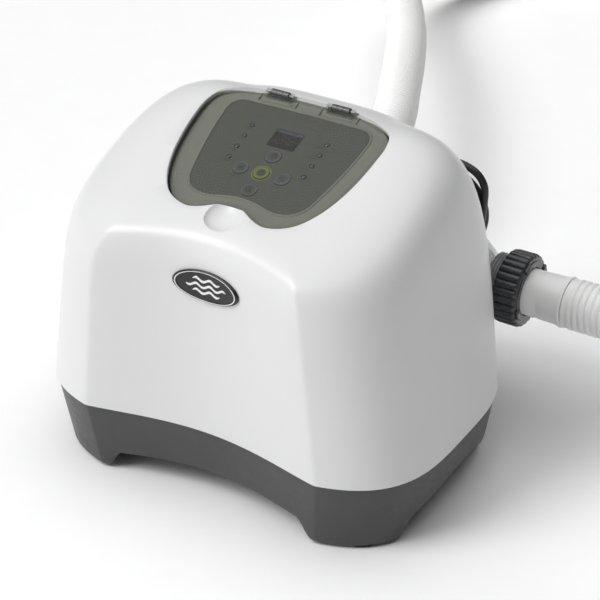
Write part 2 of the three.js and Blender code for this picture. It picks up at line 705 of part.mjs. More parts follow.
function makeGland() {
  const boss = alongY(rod(10.5, 5, 18)).translate(GLAND.x, GLAND_Y, GLAND.z);
  const neck = alongY(rod(6, 12, 14)).translate(GLAND.x, GLAND_Y - 11, GLAND.z);
  // the cord leaves sideways through a tapered sleeve
  const knee = new THREE.SphereGeometry(7.4, 12, 8).translate(GLAND.x, GLAND_Y + 8, GLAND.z);
  const drop = rod(7.4, 6, 14).rotateX(-Math.PI / 2).translate(GLAND.x, GLAND_Y + 2, GLAND.z);
  const start = new THREE.Vector3(GLAND.x, GLAND_Y + 8, GLAND.z);
  const end = new THREE.Vector3(...leadRoute[0]);
  const along = end.clone().sub(start);
  const length = along.length() - 2 * GAP;
  const taper = turned([[0, 0], [7, 0], [4.3, length], [0, length]], 14);
  const turn = new THREE.Quaternion().setFromUnitVectors(new THREE.Vector3(0, 0, 1), along.normalize());
  taper.applyQuaternion(turn).translate(start.x, start.y, start.z);
  return join(boss, neck, drop, knee, taper);
}

const GLAND_Y = 130.5;

function makeCoil() {
  const outer = COIL_R;
  const inner = COIL_R - 3 * CORD_D;
  const half = COIL_DEPTH / 2;
  return turned([[inner, -half], [outer, -half], [outer, half], [inner, half], [inner, -half]], 30)
    .rotateX(Math.PI / 2).translate(COIL_X, COIL_Y, COIL_Z);
}

function makeTie() {
  const section = 3 * CORD_D + 1.4;
  const depth = COIL_DEPTH + 2 * GAP;
  const band = cut(box(section + 3, depth + 3, 8), box(section, depth, 20));
  const out = COIL_R - 1.5 * CORD_D;
  const a = THREE.MathUtils.degToRad(165);
  return band.rotateY(-a).translate(COIL_X + out * Math.cos(a), COIL_Y, COIL_Z + out * Math.sin(a));
}

const PLUG = { x: 37, y: 148.4, z: 132 };

function makePlug() {
  const body = plate(roundedRect(23, 19, 6), 34).rotateY(-Math.PI / 2);
  const relief = alongX(turned([[0, -1], [7, -1], [4.2, 16], [0, 16]], 20));
  return join(body, relief).translate(PLUG.x - 17, PLUG.y, PLUG.z);
}

function makePlugPins() {
  const blades = [-1, 1].map((s) => box(18, 1.5, 6.3, -8, s * 6.3, 3));
  const earth = alongX(rod(2.4, 21, 14)).translate(-19.5, 0, -5.5);
  const yoke = box(1.2, 16, 14, 0.8, 0, 0);
  return join(...blades, earth, yoke).translate(PLUG.x - 17 - 34 - 1.8, PLUG.y, PLUG.z);
}

// ---------- assembly ----------
add('base_shell', makeBase(), GREY);
add('top_shell', makeTop(), WHITE);
FEET.forEach(([x, y], k) => {
  add(`rubber_foot_${k + 1}`, makeFoot().translate(x, y, 0), RUBBER);
  const screw = join(rod(2.8, 24, 8), rod(5.6, 3, 12).translate(0, 0, -3));
  add(`case_screw_${k + 1}`, screw.translate(x, y, 8.6), STEEL);
});
add('badge', makeBadge(), BLACK);
add('control_bezel', makeBezel(), DECK);
add('membrane_panel', makeMembrane(), MEMBRANE);
add('display_window', makeDisplayWindow(), BLACK);
add('display_module', makeDisplayModule(), BLACK);
add('control_board', makeControlBoard(), BOARD);
for (const [name, place] of Object.entries(BUTTONS)) add(name, makeButton(place), MEMBRANE);
add('light_pipes_left', makeLightPipes(-1), BLACK);
add('light_pipes_right', makeLightPipes(1), BLACK);
add('lid', makeLid(), SMOKE);
add('hinge_pin_left', makeHingePin(-1), STEEL);
add('hinge_pin_right', makeHingePin(1), STEEL);

add('transformer_core', makeCore(), STEEL);
add('transformer_winding', makeWinding(), COPPER);
add('power_board', makePowerBoard(), BOARD);
add('heat_sink', makeHeatSink(), STEEL);
add('terminal_block', makeTerminalBlock(), WHITE);

add('cell_housing', makeCellHousing(), CLEAR);
add('electrode_plates', makeElectrodes(), STEEL);
add('electrode_cap', makeElectrodeCap(), GREY);
add('sensor_cap', makeSensorCap(), GREY);
add('flow_paddle', makePaddle(), GREY);
add('paddle_pin', makePaddlePin(), STEEL);
add('cell_bracket_left', makeBracket(false).translate(-36, 0, 0), GREY);
add('cell_bracket_right', clearOfBranch(makeBracket(true).translate(COIL_X - 14, 0, 0)), GREY);

const outletCollar = OUTLET_END - COLLAR_LENGTH;
const inletCollar = INLET_END - COLLAR_LENGTH;
const collar = () => turned(collarProfile(), 26);
add('outlet_collar', clearOfBranch(outletSide(collar(), outletCollar)), GREY);
add('inlet_collar', inletSide(collar(), inletCollar), GREY);
add('outlet_seal', outletSide(makeSeal(), OUTLET_END + SEAL_AT), RUBBER);
add('inlet_seal', inletSide(makeSeal(), INLET_END + SEAL_AT), RUBBER);
add('outlet_nut', outletSide(makeNut(), OUTLET_END + NUT_START), BLACK);
add('inlet_nut', inletSide(makeNut(), INLET_END + NUT_START), BLACK);
add('outlet_cuff', outletSide(makeCuff(), OUTLET_END + CUFF_AT), HOSE, cords);
add('inlet_cuff', inletSide(makeCuff(), INLET_END + CUFF_AT), HOSE, cords);

for (const [name, route, loop] of [['outlet', outletRoute, outletLoop],
  ['inlet', inletRoute, inletLoop]]) {
  const points = [...route, ...loop];
  add(`${name}_hose`, tube(points, HOSE_R, 32, 10), HOSE, cords);
  add(`${name}_hose_end_cuff`, endOf(points, farCuff()), HOSE, cords);
  add(`${name}_hose_end_nut`, endOf(points, farNut()), BLACK, cords);
}

add('cord_gland', makeGland(), RUBBER);
add('cord_lead', tube(leadRoute, CORD_D / 2, 10, 10), RUBBER, cords);
add('cord_coil', makeCoil(), RUBBER, cords);
add('cord_tail', tube(tailRoute, CORD_D / 2, 8, 10), RUBBER, cords);
add('cord_tie', makeTie(), BLACK, cords);
add('mains_plug', makePlug(), RUBBER, cords);
add('plug_pins', makePlugPins(), BRASS, cords);

// the unit without its hoses and cord stands centred over the origin
const centre = new THREE.Box3().setFromObject(unit, true).getCenter(new THREE.Vector3());
for (const group of [unit, cords]) group.position.set(-centre.x, -centre.y, 0);

export default root;
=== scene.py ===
"""Saltwater pool chlorinator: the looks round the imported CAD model.

The case is described in millimetres in its own frame, X = 0 on its centre plane and +Z up;
place() moves such points into the row frame, in metres.
"""
import json
import math
import bmesh
import bpy
import numpy as np
from mathutils import Matrix, Vector


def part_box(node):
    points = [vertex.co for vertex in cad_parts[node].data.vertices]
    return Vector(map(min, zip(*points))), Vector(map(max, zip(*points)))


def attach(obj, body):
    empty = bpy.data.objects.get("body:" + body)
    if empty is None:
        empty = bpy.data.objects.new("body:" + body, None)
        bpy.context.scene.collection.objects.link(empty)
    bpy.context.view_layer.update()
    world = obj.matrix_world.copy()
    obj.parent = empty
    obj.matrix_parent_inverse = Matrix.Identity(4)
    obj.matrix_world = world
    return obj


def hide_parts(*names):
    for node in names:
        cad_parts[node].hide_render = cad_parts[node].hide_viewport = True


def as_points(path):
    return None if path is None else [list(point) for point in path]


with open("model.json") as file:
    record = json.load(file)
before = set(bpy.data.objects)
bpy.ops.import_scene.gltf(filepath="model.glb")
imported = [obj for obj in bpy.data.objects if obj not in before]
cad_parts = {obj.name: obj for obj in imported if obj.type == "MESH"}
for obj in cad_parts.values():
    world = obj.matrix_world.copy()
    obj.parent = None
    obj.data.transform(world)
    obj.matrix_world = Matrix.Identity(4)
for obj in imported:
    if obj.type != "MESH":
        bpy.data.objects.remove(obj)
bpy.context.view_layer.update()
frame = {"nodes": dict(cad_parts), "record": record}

MM = 0.001

# ---------- dimensions, the CAD part's own ----------
HALF_WIDTH, FRONT_DEPTH, REAR_DEPTH = 183, 128, 136
PLAN_POWER, SEAM_Z, CROWN, SLOPE, SIDE_TAPER = 3.5, 68, 215, 0.36, 0.16
FRONT_HOLLOW, HOLLOW_HALF_WIDTH, HOLLOW_POWER = 25, 112, 1.06
WALL, FLOOR_Z, FOOT_PAD = 3, 37, 3
BASE_TAPER_X, BASE_TAPER_Y = 0.055, 0.085
DECK_Z, DECK_TILT = 276.5, math.atan(SLOPE)
LID_TOP, LID_THICK = 7, 2.4
HINGE_V, HINGE_W, KNUCKLE_X = 66, 3.4, 29
LED_X, LED_V = 35.5, (28.3, 15.5, 2.7, -10.1)
BUTTON_R = 7
BUTTONS = {"top": (0, 1.7), "left": (-19.7, -18), "power": (0, -18), "right": (19.7, -18),
           "bottom": (0, -37.7)}
DISPLAY_V, DISPLAY_W, DISPLAY_H = 22, 25, 19.5
CELL_Y, CELL_Z, CELL_R, CELL_BORE, CELL_LEFT = 177, 109, 21, 17.5, -122
OUTLET_END, INLET_X, INLET_END = 141, -89, 228
COLLAR_R, COLLAR_LENGTH = 27.5, 21
NUT_R, NUT_LENGTH, NUT_RIBS, NUT_START = 33.5, 24, 28, -8
HOSE_R, CUFF_LENGTH, CUFF_AT, HOSE_LOOP_R = 23, 50, 2.6, 250
GROUND, END_LIFT = HOSE_R + 0.6, NUT_R - HOSE_R
BRANCH_X, BRANCH_R, BRANCH_LENGTH = 120, 18.5, 51
CORD_D, COIL_X, COIL_Y, COIL_Z, COIL_R = 6.6, 83.5, 145.7, 184.5, 40.5
PLUG = (37, 148.4, 132)
GLAND = (32, 130.5, 227)
FEET = [(-134, -82), (134, -82), (134, 92), (-134, 92)]
# thumb scoop: place up the slope, height over the deck, flatness, its radius and that of the wall round it
SCOOP_V, SCOOP_W, SCOOP_FLAT, SCOOP_R, BACKING_R = -75, LID_TOP + 3.2, 0.55, 18, 24
END_GAP, END_NUT_BACK = 0.3, 11
FLOOR_HALF = 30000
SHIFT_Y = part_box("top_shell")[1].y - REAR_DEPTH * MM


def place(points):
    p = np.array(points, float).reshape(-1, 3) * MM
    p[:, 1] += SHIFT_Y
    return p


def add_to_scene(piece):
    bpy.context.scene.collection.objects.link(piece)
    return piece


# ---------- camera ----------
AZIMUTH = ELEVATION = math.radians(31)
FOCUS = place([(26.1, 0, 151.1)])[0]
CAMERA_DISTANCE = 1.6671
LENS, SENSOR = 120, 36


def make_camera():
    back = Vector((math.sin(AZIMUTH) * math.cos(ELEVATION), -math.cos(AZIMUTH) * math.cos(ELEVATION),
                   math.sin(ELEVATION)))
    right = Vector((math.cos(AZIMUTH), math.sin(AZIMUTH), 0))
    up = back.cross(right)
    camera = bpy.data.objects.new("camera", bpy.data.cameras.new("camera"))
    camera.data.lens = LENS
    camera.data.sensor_width = SENSOR
    camera.matrix_world = Matrix.Translation(Vector(FOCUS) + back * CAMERA_DISTANCE) @ Matrix(
        (right, up, back)).transposed().to_4x4()
    bpy.context.scene.camera = add_to_scene(camera)


make_camera()


# ---------- procedural materials ----------
class Nodes:
    """A small builder for one material's node tree."""

    def __init__(self, name):
        self.material = bpy.data.materials.new(name)
        self.material.use_nodes = True
        self.tree = self.material.node_tree
        self.shader = self.tree.nodes["Principled BSDF"]
        self.where = self.add("ShaderNodeTexCoord").outputs["Object"]

    def add(self, kind, inputs=None, **settings):
        node = self.tree.nodes.new(kind)
        for key, value in settings.items():
            setattr(node, key, value)
        for key, value in (inputs or {}).items():
            if isinstance(value, bpy.types.NodeSocket):
                self.tree.links.new(value, node.inputs[key])
            else:
                node.inputs[key].default_value = value
        return node

    def noise(self, scale, detail=3, stretch=None):
        where = self.where
        if stretch:
            where = self.add("ShaderNodeMapping", {"Vector": where, "Scale": stretch}).outputs[0]
        return self.add("ShaderNodeTexNoise", {"Vector": where, "Scale": scale, "Detail": detail,
                                               "Roughness": 0.55}).outputs[0]

    def spread(self, value, low, high, start=0.3, end=0.7):
        return self.add("ShaderNodeMapRange", {"Value": value, "From Min": start, "From Max": end,
                                               "To Min": low, "To Max": high}).outputs[0]

    def blend(self, factor, a, b):
        node = self.add("ShaderNodeMix", data_type="RGBA")
        self.tree.links.new(factor, node.inputs[0])
        node.inputs[6].default_value = (*a, 1)
        node.inputs[7].default_value = (*b, 1)
        return node.outputs[2]

    def link(self, value, socket):
        self.tree.links.new(value, self.shader.inputs[socket])

    def bump(self, height, strength, distance):
        node = self.add("ShaderNodeBump", {"Height": height, "Strength": strength, "Distance": distance})
        self.link(node.outputs[0], "Normal")


def plastic(name, colour, roughness, mottle=0.05, mottle_scale=25, grain=1400, grain_depth=0.00004,
            strength=0.2, rough_spread=0.06, metallic=0.0, stretch=None, **sockets):
    """Moulded or metal surface: a slow change of shade, uneven gloss and a fine grain."""
    n = Nodes(name)
    darker = tuple(c * (1 - mottle) for c in colour)
    lighter = tuple(min(1, c * (1 + mottle)) for c in colour)
    shade = n.spread(n.noise(mottle_scale, 4), 0, 1)
    n.link(n.blend(shade, darker, lighter), "Base Color")
    gloss = n.noise(mottle_scale * 6, 3, stretch)
    n.link(n.spread(gloss, roughness - rough_spread, roughness + rough_spread), "Roughness")
    n.bump(n.noise(grain, 2, stretch), strength, grain_depth)
    n.shader.inputs["Metallic"].default_value = metallic
    for key, value in sockets.items():
        n.shader.inputs[key.replace("_", " ")].default_value = value
    return n.material


def see_through(name, colour, tint, haze, roughness=0.06, gloss=0.0):
    """Tinted clear plastic: most light passes straight on, tinted, and the rest meets a glossy surface."""
    n = Nodes(name)
    n.link(n.blend(n.spread(n.noise(30, 3), 0, 1), tuple(c * 0.94 for c in colour), colour), "Base Color")
    n.link(n.spread(n.noise(160, 3), roughness * 0.7, roughness * 1.4), "Roughness")
    n.shader.inputs["IOR"].default_value = 1.45
    n.shader.inputs["Coat Weight"].default_value = gloss
    n.bump(n.noise(60, 2), 0.05, 0.00005)
    passes = n.add("ShaderNodeBsdfTransparent", {"Color": (*tint, 1)})
    mixed = n.add("ShaderNodeMixShader", {0: haze})
    n.tree.links.new(passes.outputs[0], mixed.inputs[1])
    n.tree.links.new(n.shader.outputs[0], mixed.inputs[2])
    n.tree.links.new(mixed.outputs[0], n.tree.nodes["Material Output"].inputs[0])
    return n.material


def ribbed(name, colour, period, axis, depth, **more):
    """Material with fine parallel ridges across one axis, such as windings or fins."""
    material = plastic(name, colour, **more)
    tree = material.node_tree
    where = tree.nodes.new("ShaderNodeTexCoord")
    wave = tree.nodes.new("ShaderNodeTexWave")
    wave.bands_direction = axis
    wave.inputs["Scale"].default_value = 0.314 / period
    wave.inputs["Distortion"].default_value = 0.4
    tree.links.new(where.outputs["Object"], wave.inputs["Vector"])
    bump = tree.nodes.new("ShaderNodeBump")
    bump.inputs["Strength"].default_value = 0.9
    bump.inputs["Distance"].default_value = depth
    shader = tree.nodes["Principled BSDF"]
    grain = shader.inputs["Normal"].links[0].from_node
    tree.links.new(wave.outputs["Fac"], bump.inputs["Height"])
    tree.links.new(grain.outputs[0], bump.inputs["Normal"])
    tree.links.new(bump.outputs[0], shader.inputs["Normal"])
    return material


def circuit_board(name):
    """Green solder mask over faint tracks and tinned pads."""
    n = Nodes(name)
    tracks = n.add("ShaderNodeTexBrick", {"Vector": n.where, "Scale": 140.0, "Mortar Size": 0.012})
    pads = n.add("ShaderNodeTexVoronoi", {"Vector": n.where, "Scale": 170.0}).outputs["Distance"]
    is_pad = n.spread(pads, 1, 0, 0.14, 0.17)
    mask = n.blend(tracks.outputs["Fac"], (0.02, 0.13, 0.05), (0.05, 0.24, 0.1))
    both = n.add("ShaderNodeMix", data_type="RGBA")
    n.tree.links.new(is_pad, both.inputs[0])
    n.tree.links.new(mask, both.inputs[6])
    both.inputs[7].default_value = (0.6, 0.6, 0.58, 1)
    n.link(both.outputs[2], "Base Color")
    n.link(n.spread(n.noise(200), 0.3, 0.5), "Roughness")
    n.bump(tracks.outputs["Fac"], 0.4, 0.00005)
    return n.material


MATERIALS = {
    "white_shell": plastic("white_shell", (0.71, 0.71, 0.713), 0.3, mottle=0.006, mottle_scale=9, grain=1100,
                           grain_depth=0.00001, strength=0.06, rough_spread=0.02, Specular_IOR_Level=0.45),
    "grey_base": plastic("grey_base", (0.05, 0.05, 0.051), 0.43, mottle=0.07, grain=2200,
                         grain_depth=0.00005, strength=0.4),
    "black_gloss": plastic("black_gloss", (0.012, 0.012, 0.014), 0.16, mottle=0.2, rough_spread=0.04),
    "black_nut": plastic("black_nut", (0.035, 0.036, 0.04), 0.3, mottle=0.12, grain=1600, Coat_Weight=0.25),
    "deck_grey": plastic("deck_grey", (0.21, 0.212, 0.195), 0.48, mottle=0.04, strength=0.3),
    "membrane": plastic("membrane", (0.06, 0.064, 0.057), 0.5, mottle=0.03, grain=1500, strength=0.12),
    "smoked_clear": see_through("smoked_clear", (0.25, 0.26, 0.235), (0.93, 0.935, 0.915), 0.06, 0.05,
                                gloss=0.3),
    "clear_cell": see_through("clear_cell", (0.6, 0.61, 0.61), (0.93, 0.94, 0.94), 0.3, 0.12, gloss=0.4),
    "collar_grey": see_through("collar_grey", (0.3, 0.305, 0.31), (0.6, 0.61, 0.62), 0.85, 0.3),
    "hose_white": plastic("hose_white", (0.88, 0.88, 0.875), 0.36, mottle=0.02, grain=1100,
                          grain_depth=0.00003, Subsurface_Weight=0.08,
                          Subsurface_Radius=(0.004, 0.004, 0.004)),
    "black_rubber": plastic("black_rubber", (0.02, 0.02, 0.021), 0.75, mottle=0.15, strength=0.4),
    "cord_black": plastic("cord_black", (0.014, 0.014, 0.016), 0.38, mottle=0.2, grain=1800,
                          grain_depth=0.00005, strength=0.3),
    "steel": plastic("steel", (0.56, 0.57, 0.58), 0.32, metallic=1.0, grain=900, stretch=(1, 1, 30)),
    "brass": plastic("brass", (0.78, 0.57, 0.26), 0.28, metallic=1.0, grain=900, stretch=(20, 1, 1)),
    "copper": ribbed("copper", (0.5, 0.2, 0.07), 0.0011, "Y", 0.0003, roughness=0.35, metallic=0.8),
    "aluminium": ribbed("aluminium", (0.68, 0.69, 0.7), 0.0014, "Z", 0.00008, roughness=0.38,
                        metallic=1.0),
    "board_green": circuit_board("board_green"),
    "terminal_white": plastic("terminal_white", (0.72, 0.72, 0.66), 0.42),
}
KNUCKLE_DARK = plastic("knuckle_dark", (0.06, 0.064, 0.056), 0.2, mottle=0.1)
PRINT_DARK = plastic("print_dark", (0.008, 0.009, 0.012), 0.55, mottle=0.1)
PRINT_BLUE = plastic("print_blue", (0.07, 0.115, 0.19), 0.45, mottle=0.06)
PRINT_LIME = plastic("print_lime", (0.16, 0.19, 0.02), 0.45, mottle=0.06)
DISPLAY_DARK = plastic("display_dark", (0.012, 0.009, 0.014), 0.25, mottle=0.2, Specular_IOR_Level=0.2)
DISPLAY_BAND = plastic("display_band", (0.03, 0.03, 0.075), 0.3, mottle=0.2)
EMBLEM_WHITE = plastic("emblem_white", (0.78, 0.78, 0.78), 0.3, mottle=0.02)
LED_LENS = plastic("led_lens", (0.012, 0.012, 0.03), 0.12, mottle=0.2, Coat_Weight=0.6)

for part in frame["record"]["subparts"]:
    node = frame["nodes"][part["node"]]
    node.data.materials.clear()
    node.data.materials.append(MATERIALS[part["material_slot"]])


# ---------- mesh helpers ----------
def new_object(name, points, faces):
    mesh = bpy.data.meshes.new(name)
    mesh.from_pydata(place(points).tolist(), [], [tuple(f) for f in faces])
    return add_to_scene(bpy.data.objects.new(name, mesh))


def tidy_mesh(piece, sharp):
    """Faces outwards, shaded smooth except across edges sharper than the angle in degrees."""
    mesh = bmesh.new()
    mesh.from_mesh(piece.data)
    bmesh.ops.remove_doubles(mesh, verts=mesh.verts, dist=2e-6)
    bmesh.ops.recalc_face_normals(mesh, faces=mesh.faces)
    for face in mesh.faces:
        face.smooth = True
    limit = math.radians(sharp)
    for edge in mesh.edges:
        edge.smooth = len(edge.link_faces) == 2 and edge.calc_face_angle(0) < limit
    mesh.to_mesh(piece.data)
    mesh.free()


def settle(piece, material, slot, body="root", replaces=(), sharp=32):
    """Gives a finished piece its material, the slot's own where none is given, and its body, and hides the
    CAD nodes that it stands for.
    """
    tidy_mesh(piece, sharp)
    piece.data.materials.clear()
    piece.data.materials.append(material or MATERIALS[slot])
    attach(piece, body)
    if replaces:
        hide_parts(*replaces)
    return piece


def boolean(piece, tools, operation="DIFFERENCE"):
    for tool in tools:
        modifier = piece.modifiers.new("cut", "BOOLEAN")
        modifier.object = tool
        modifier.operation = operation
        modifier.solver = "MANIFOLD"
        graph = bpy.context.evaluated_depsgraph_get()
        mesh = bpy.data.meshes.new_from_object(piece.evaluated_get(graph))
        piece.modifiers.clear()
        piece.data = mesh
        bpy.data.objects.remove(tool)


def ring_faces(rings, sides):
    """Quads between rings of the same number of points, one after another."""
    faces = []
    for k in range(rings - 1):
        for i in range(sides):
            a, b = k * sides + i, k * sides + (i + 1) % sides
            faces.append((a, b, b + sides, a + sides))
    return faces


def band_faces(rings, sides):
    """Quads between rings, with the last ring joined to the first."""
    last = (rings - 1) * sides
    return ring_faces(rings, sides) + [(last + i, last + (i + 1) % sides, (i + 1) % sides, i)
                                       for i in range(sides)]


def add_fan(points, faces, start, sides, hub_point, flip):
    """Closes the ring that begins at a point's number with triangles from a hub."""
    points.append(hub_point)
    hub = len(points) - 1
    for i in range(sides):
        a, b = start + i, start + (i + 1) % sides
        faces.append((hub, b, a) if flip else (hub, a, b))


def loft(rings):
    """Points and faces of a solid through closed rings, the two ends capped from their centres."""
    sides = len(rings[0])
    points = [p for ring in rings for p in ring]
    faces = ring_faces(len(rings), sides)
    add_fan(points, faces, 0, sides, np.mean(np.array(rings[0]), 0), True)
    add_fan(points, faces, (len(rings) - 1) * sides, sides, np.mean(np.array(rings[-1]), 0), False)
    return points, faces


def round_rings(x, y, levels, sides):
    """Rings round a place, one for each (radius, height)."""
    return [[(x + r * math.cos(a), y + r * math.sin(a), z)
             for a in np.linspace(0, 2 * math.pi, sides, endpoint=False)] for r, z in levels]


def squircle(half_w, half_h, power, sides):
    """Rounded rectangle as a ring of (x, y)."""
    ring = []
    for k in range(sides):
        c, s = math.cos(2 * math.pi * k / sides), math.sin(2 * math.pi * k / sides)
        r = (abs(c / half_w) ** power + abs(s / half_h) ** power) ** (-1 / power)
        ring.append((r * c, r * s))
    return ring


def revolve(profile, sides=64):
    """Solid of revolution about Z from a closed profile of (radius, height)."""
    turns = [2 * math.pi * k / sides for k in range(sides)]
    points = [(r * math.cos(a), r * math.sin(a), z) for a in turns for r, z in profile]
    return points, [(a, c, d, b) for a, b, d, c in band_faces(sides, len(profile))]


def rod(radius, length, sides=48, edge=0.0, base=0.0):
    """Cylinder along +Z with bevelled rims where edge isn't 0."""
    levels = [(radius, base), (radius, base + length)]
    if edge:
        levels = [(radius - edge, base), (radius, base + edge), (radius, base + length - edge),
                  (radius - edge, base + length)]
    return loft(round_rings(0, 0, levels, sides))


def block(w, d, h, x=0, y=0, z=0, edge=0.6):
    """Box with rounded edges, centred on a point."""
    mesh = bmesh.new()
    bmesh.ops.create_cube(mesh, size=1, matrix=Matrix.Diagonal((w, d, h, 1)))
    if edge:
        bmesh.ops.bevel(mesh, geom=mesh.edges[:], offset=edge, segments=3, affect="EDGES", profile=0.5)
    mesh.verts.index_update()
    points = [(v.co.x + x, v.co.y + y, v.co.z + z) for v in mesh.verts]
    faces = [[v.index for v in f.verts] for f in mesh.faces]
    mesh.free()
    return points, faces


def moved(shape, matrix):
    points, faces = shape
    return [tuple(matrix @ Vector(p)) for p in points], faces


def merged(*shapes):
    points, faces = [], []
    for p, f in shapes:
        offset = len(points)
        points += list(p)
        faces += [[i + offset for i in face] for face in f]
    return points, faces


def along(direction, at):
    """Matrix that turns +Z to a direction and moves the origin to a point."""
    turn = Vector((0, 0, 1)).rotation_difference(Vector(direction))
    return Matrix.Translation(Vector(at)) @ turn.to_matrix().to_4x4()


ALONG_X = Matrix.Rotation(math.pi / 2, 4, "Y")
ALONG_Y = Matrix.Rotation(-math.pi / 2, 4, "X")


def translated(x, y, z):
    return Matrix.Translation((x, y, z))


OUTLET_PORT = translated(OUTLET_END, CELL_Y, CELL_Z) @ ALONG_X
INLET_PORT = translated(INLET_X, INLET_END, CELL_Z) @ ALONG_Y
BRANCH_LEAN = translated(BRANCH_X, CELL_Y, CELL_Z) @ Matrix.Rotation(-math.pi / 4, 4, "Y")


def rod_piece(name, radius, length, sides, matrix, edge=0.0):
    return new_object(name, *moved(rod(radius, length, sides, edge), matrix))


# ---------- smooth curves ----------
def catmull(points, samples, closed=False):
    """Centripetal Catmull-Rom curve through points, with samples points per stretch."""
    p = [np.array(q, float) for q in points]
    n = len(p)
    out = []
    for i in range(n if closed else n - 1):
        p1, p2 = p[i], p[(i + 1) % n]
        p0 = p[i - 1] if closed or i > 0 else 2 * p1 - p2
        p3 = p[(i + 2) % n] if closed or i + 2 < n else 2 * p2 - p1
        t0, t1, t2 = (max(np.linalg.norm(b - a), 1e-6) ** 0.5 for a, b in ((p0, p1), (p1, p2), (p2, p3)))
        m1 = ((p1 - p0) / t0 - (p2 - p0) / (t0 + t1) + (p2 - p1) / t1) * t1
        m2 = ((p2 - p1) / t1 - (p3 - p1) / (t1 + t2) + (p3 - p2) / t2) * t1
        for u in np.arange(samples) / samples:
            out.append((2 * u ** 3 - 3 * u ** 2 + 1) * p1 + (u ** 3 - 2 * u ** 2 + u) * m1
                       + (3 * u ** 2 - 2 * u ** 3) * p2 + (u ** 3 - u ** 2) * m2)
    if not closed:
        out.append(p[-1])
    return np.array(out)


def measure(path):
    """Distance along a path at each of its points."""
    return np.concatenate([[0], np.cumsum(np.linalg.norm(np.diff(path, axis=0), axis=1))])


def at_distances(path, distances):
    s = measure(path)
    return np.stack([np.interp(distances, s, path[:, k]) for k in range(3)], 1)


def sweep(path, radii, sides):
    """Round tube along a path, its radius given at each point, both ends closed."""
    path = np.array(path)
    tangent = np.gradient(path, axis=0)
    tangent /= np.linalg.norm(tangent, axis=1)[:, None]
    normal = np.cross(tangent[0], (0.0, 0.0, 1.0))
    if np.linalg.norm(normal) < 0.1:
        normal = np.cross(tangent[0], (0.0, 1.0, 0.0))
    turn = np.linspace(0, 2 * math.pi, sides, endpoint=False)
    rings = []
    for p, t, r in zip(path, tangent, radii):
        normal = normal - t * np.dot(normal, t)
        normal /= np.linalg.norm(normal)
        side = np.cross(t, normal)
        rings.append(p + r * (np.cos(turn)[:, None] * normal + np.sin(turn)[:, None] * side))
    return loft(rings)


# ---------- hoses ----------
OUTLET_ROUTE = [
    (193.9, 177, 109), (226, 177, 109), (262, 178, 107.9), (299.5, 184, 104.6), (342, 199, 96.9),
    (386, 224, 83.6), (429, 263, 64.9), (461, 310, 46.1), (481.5, 362, 31.8), (489.5, 417, 25.1),
    (490, 468, GROUND), (488.5, 530, GROUND), (486.5, 600, GROUND), (486, 670, GROUND),
    (486.5, 740, GROUND), (488.5, 815, GROUND), (490, 892, GROUND)]
INLET_ROUTE = [
    (-89, 280.9, 109), (-89, 305, 109), (-91.5, 337, 109), (-99, 375, 109), (-116, 425, 108.4),
    (-145, 490, 106.8), (-177, 560, 103.5), (-212, 630, 99.1), (-249, 695, 93.6), (-288, 760, 84.7),
    (-319, 826, 70.4), (-329, 905, 51.6), (-313, 983, 35.1), (-274, 1051, 25.7), (-237, 1088, GROUND)]


def ease(x):
    t = min(1.0, max(0.0, x))
    return t * t * (3 - 2 * t)


def ground_arc(start, heading, turn, count):
    """Arc on the ground from a heading; its end rises because the nut there is fatter."""
    side = math.copysign(1, turn)
    cx = start[0] - side * HOSE_LOOP_R * math.sin(heading)
    cy = start[1] + side * HOSE_LOOP_R * math.cos(heading)
    points = []
    for k in range(count):
        a = heading + turn * (k + 1) / count
        points.append((cx + side * HOSE_LOOP_R * math.sin(a), cy - side * HOSE_LOOP_R * math.cos(a),
                       GROUND + END_LIFT * ease((k + 4 - count) / 3)))
    return points


RIB_PITCH = 5.9
RIB_PHASES = (0.0, 0.09, 0.2, 0.5, 0.8, 0.91)
RIB_DEPTHS = (2.0, 1.5, 0.3, 0.0, 0.3, 1.5)


def make_hose(name, route, arc):
    path = catmull(list(route) + arc, 24)
    length = measure(path)[-1]
    plain = 5.0
    marks, depths = [0.0, 0.6, 2.0], [1.6, 0.9, 0.7]
    count = int((length - 2 * plain) / RIB_PITCH)
    for k in range(count):
        for phase, depth in zip(RIB_PHASES, RIB_DEPTHS):
            marks.append(plain + (k + phase) * RIB_PITCH)
            depths.append(depth)
    marks += [length - 2.0, length]
    depths += [0.7, 1.4]
    centres = at_distances(path, marks)
    points, faces = sweep(centres, [HOSE_R - d for d in depths], 30)
    piece = new_object(f"{name}_corrugated_hose", points, faces)
    settle(piece, None, "hose_white", replaces=[f"{name}_hose"], sharp=60)
    line = place(at_distances(path, np.linspace(0, length, 160)))
    return piece, line, length * MM, path


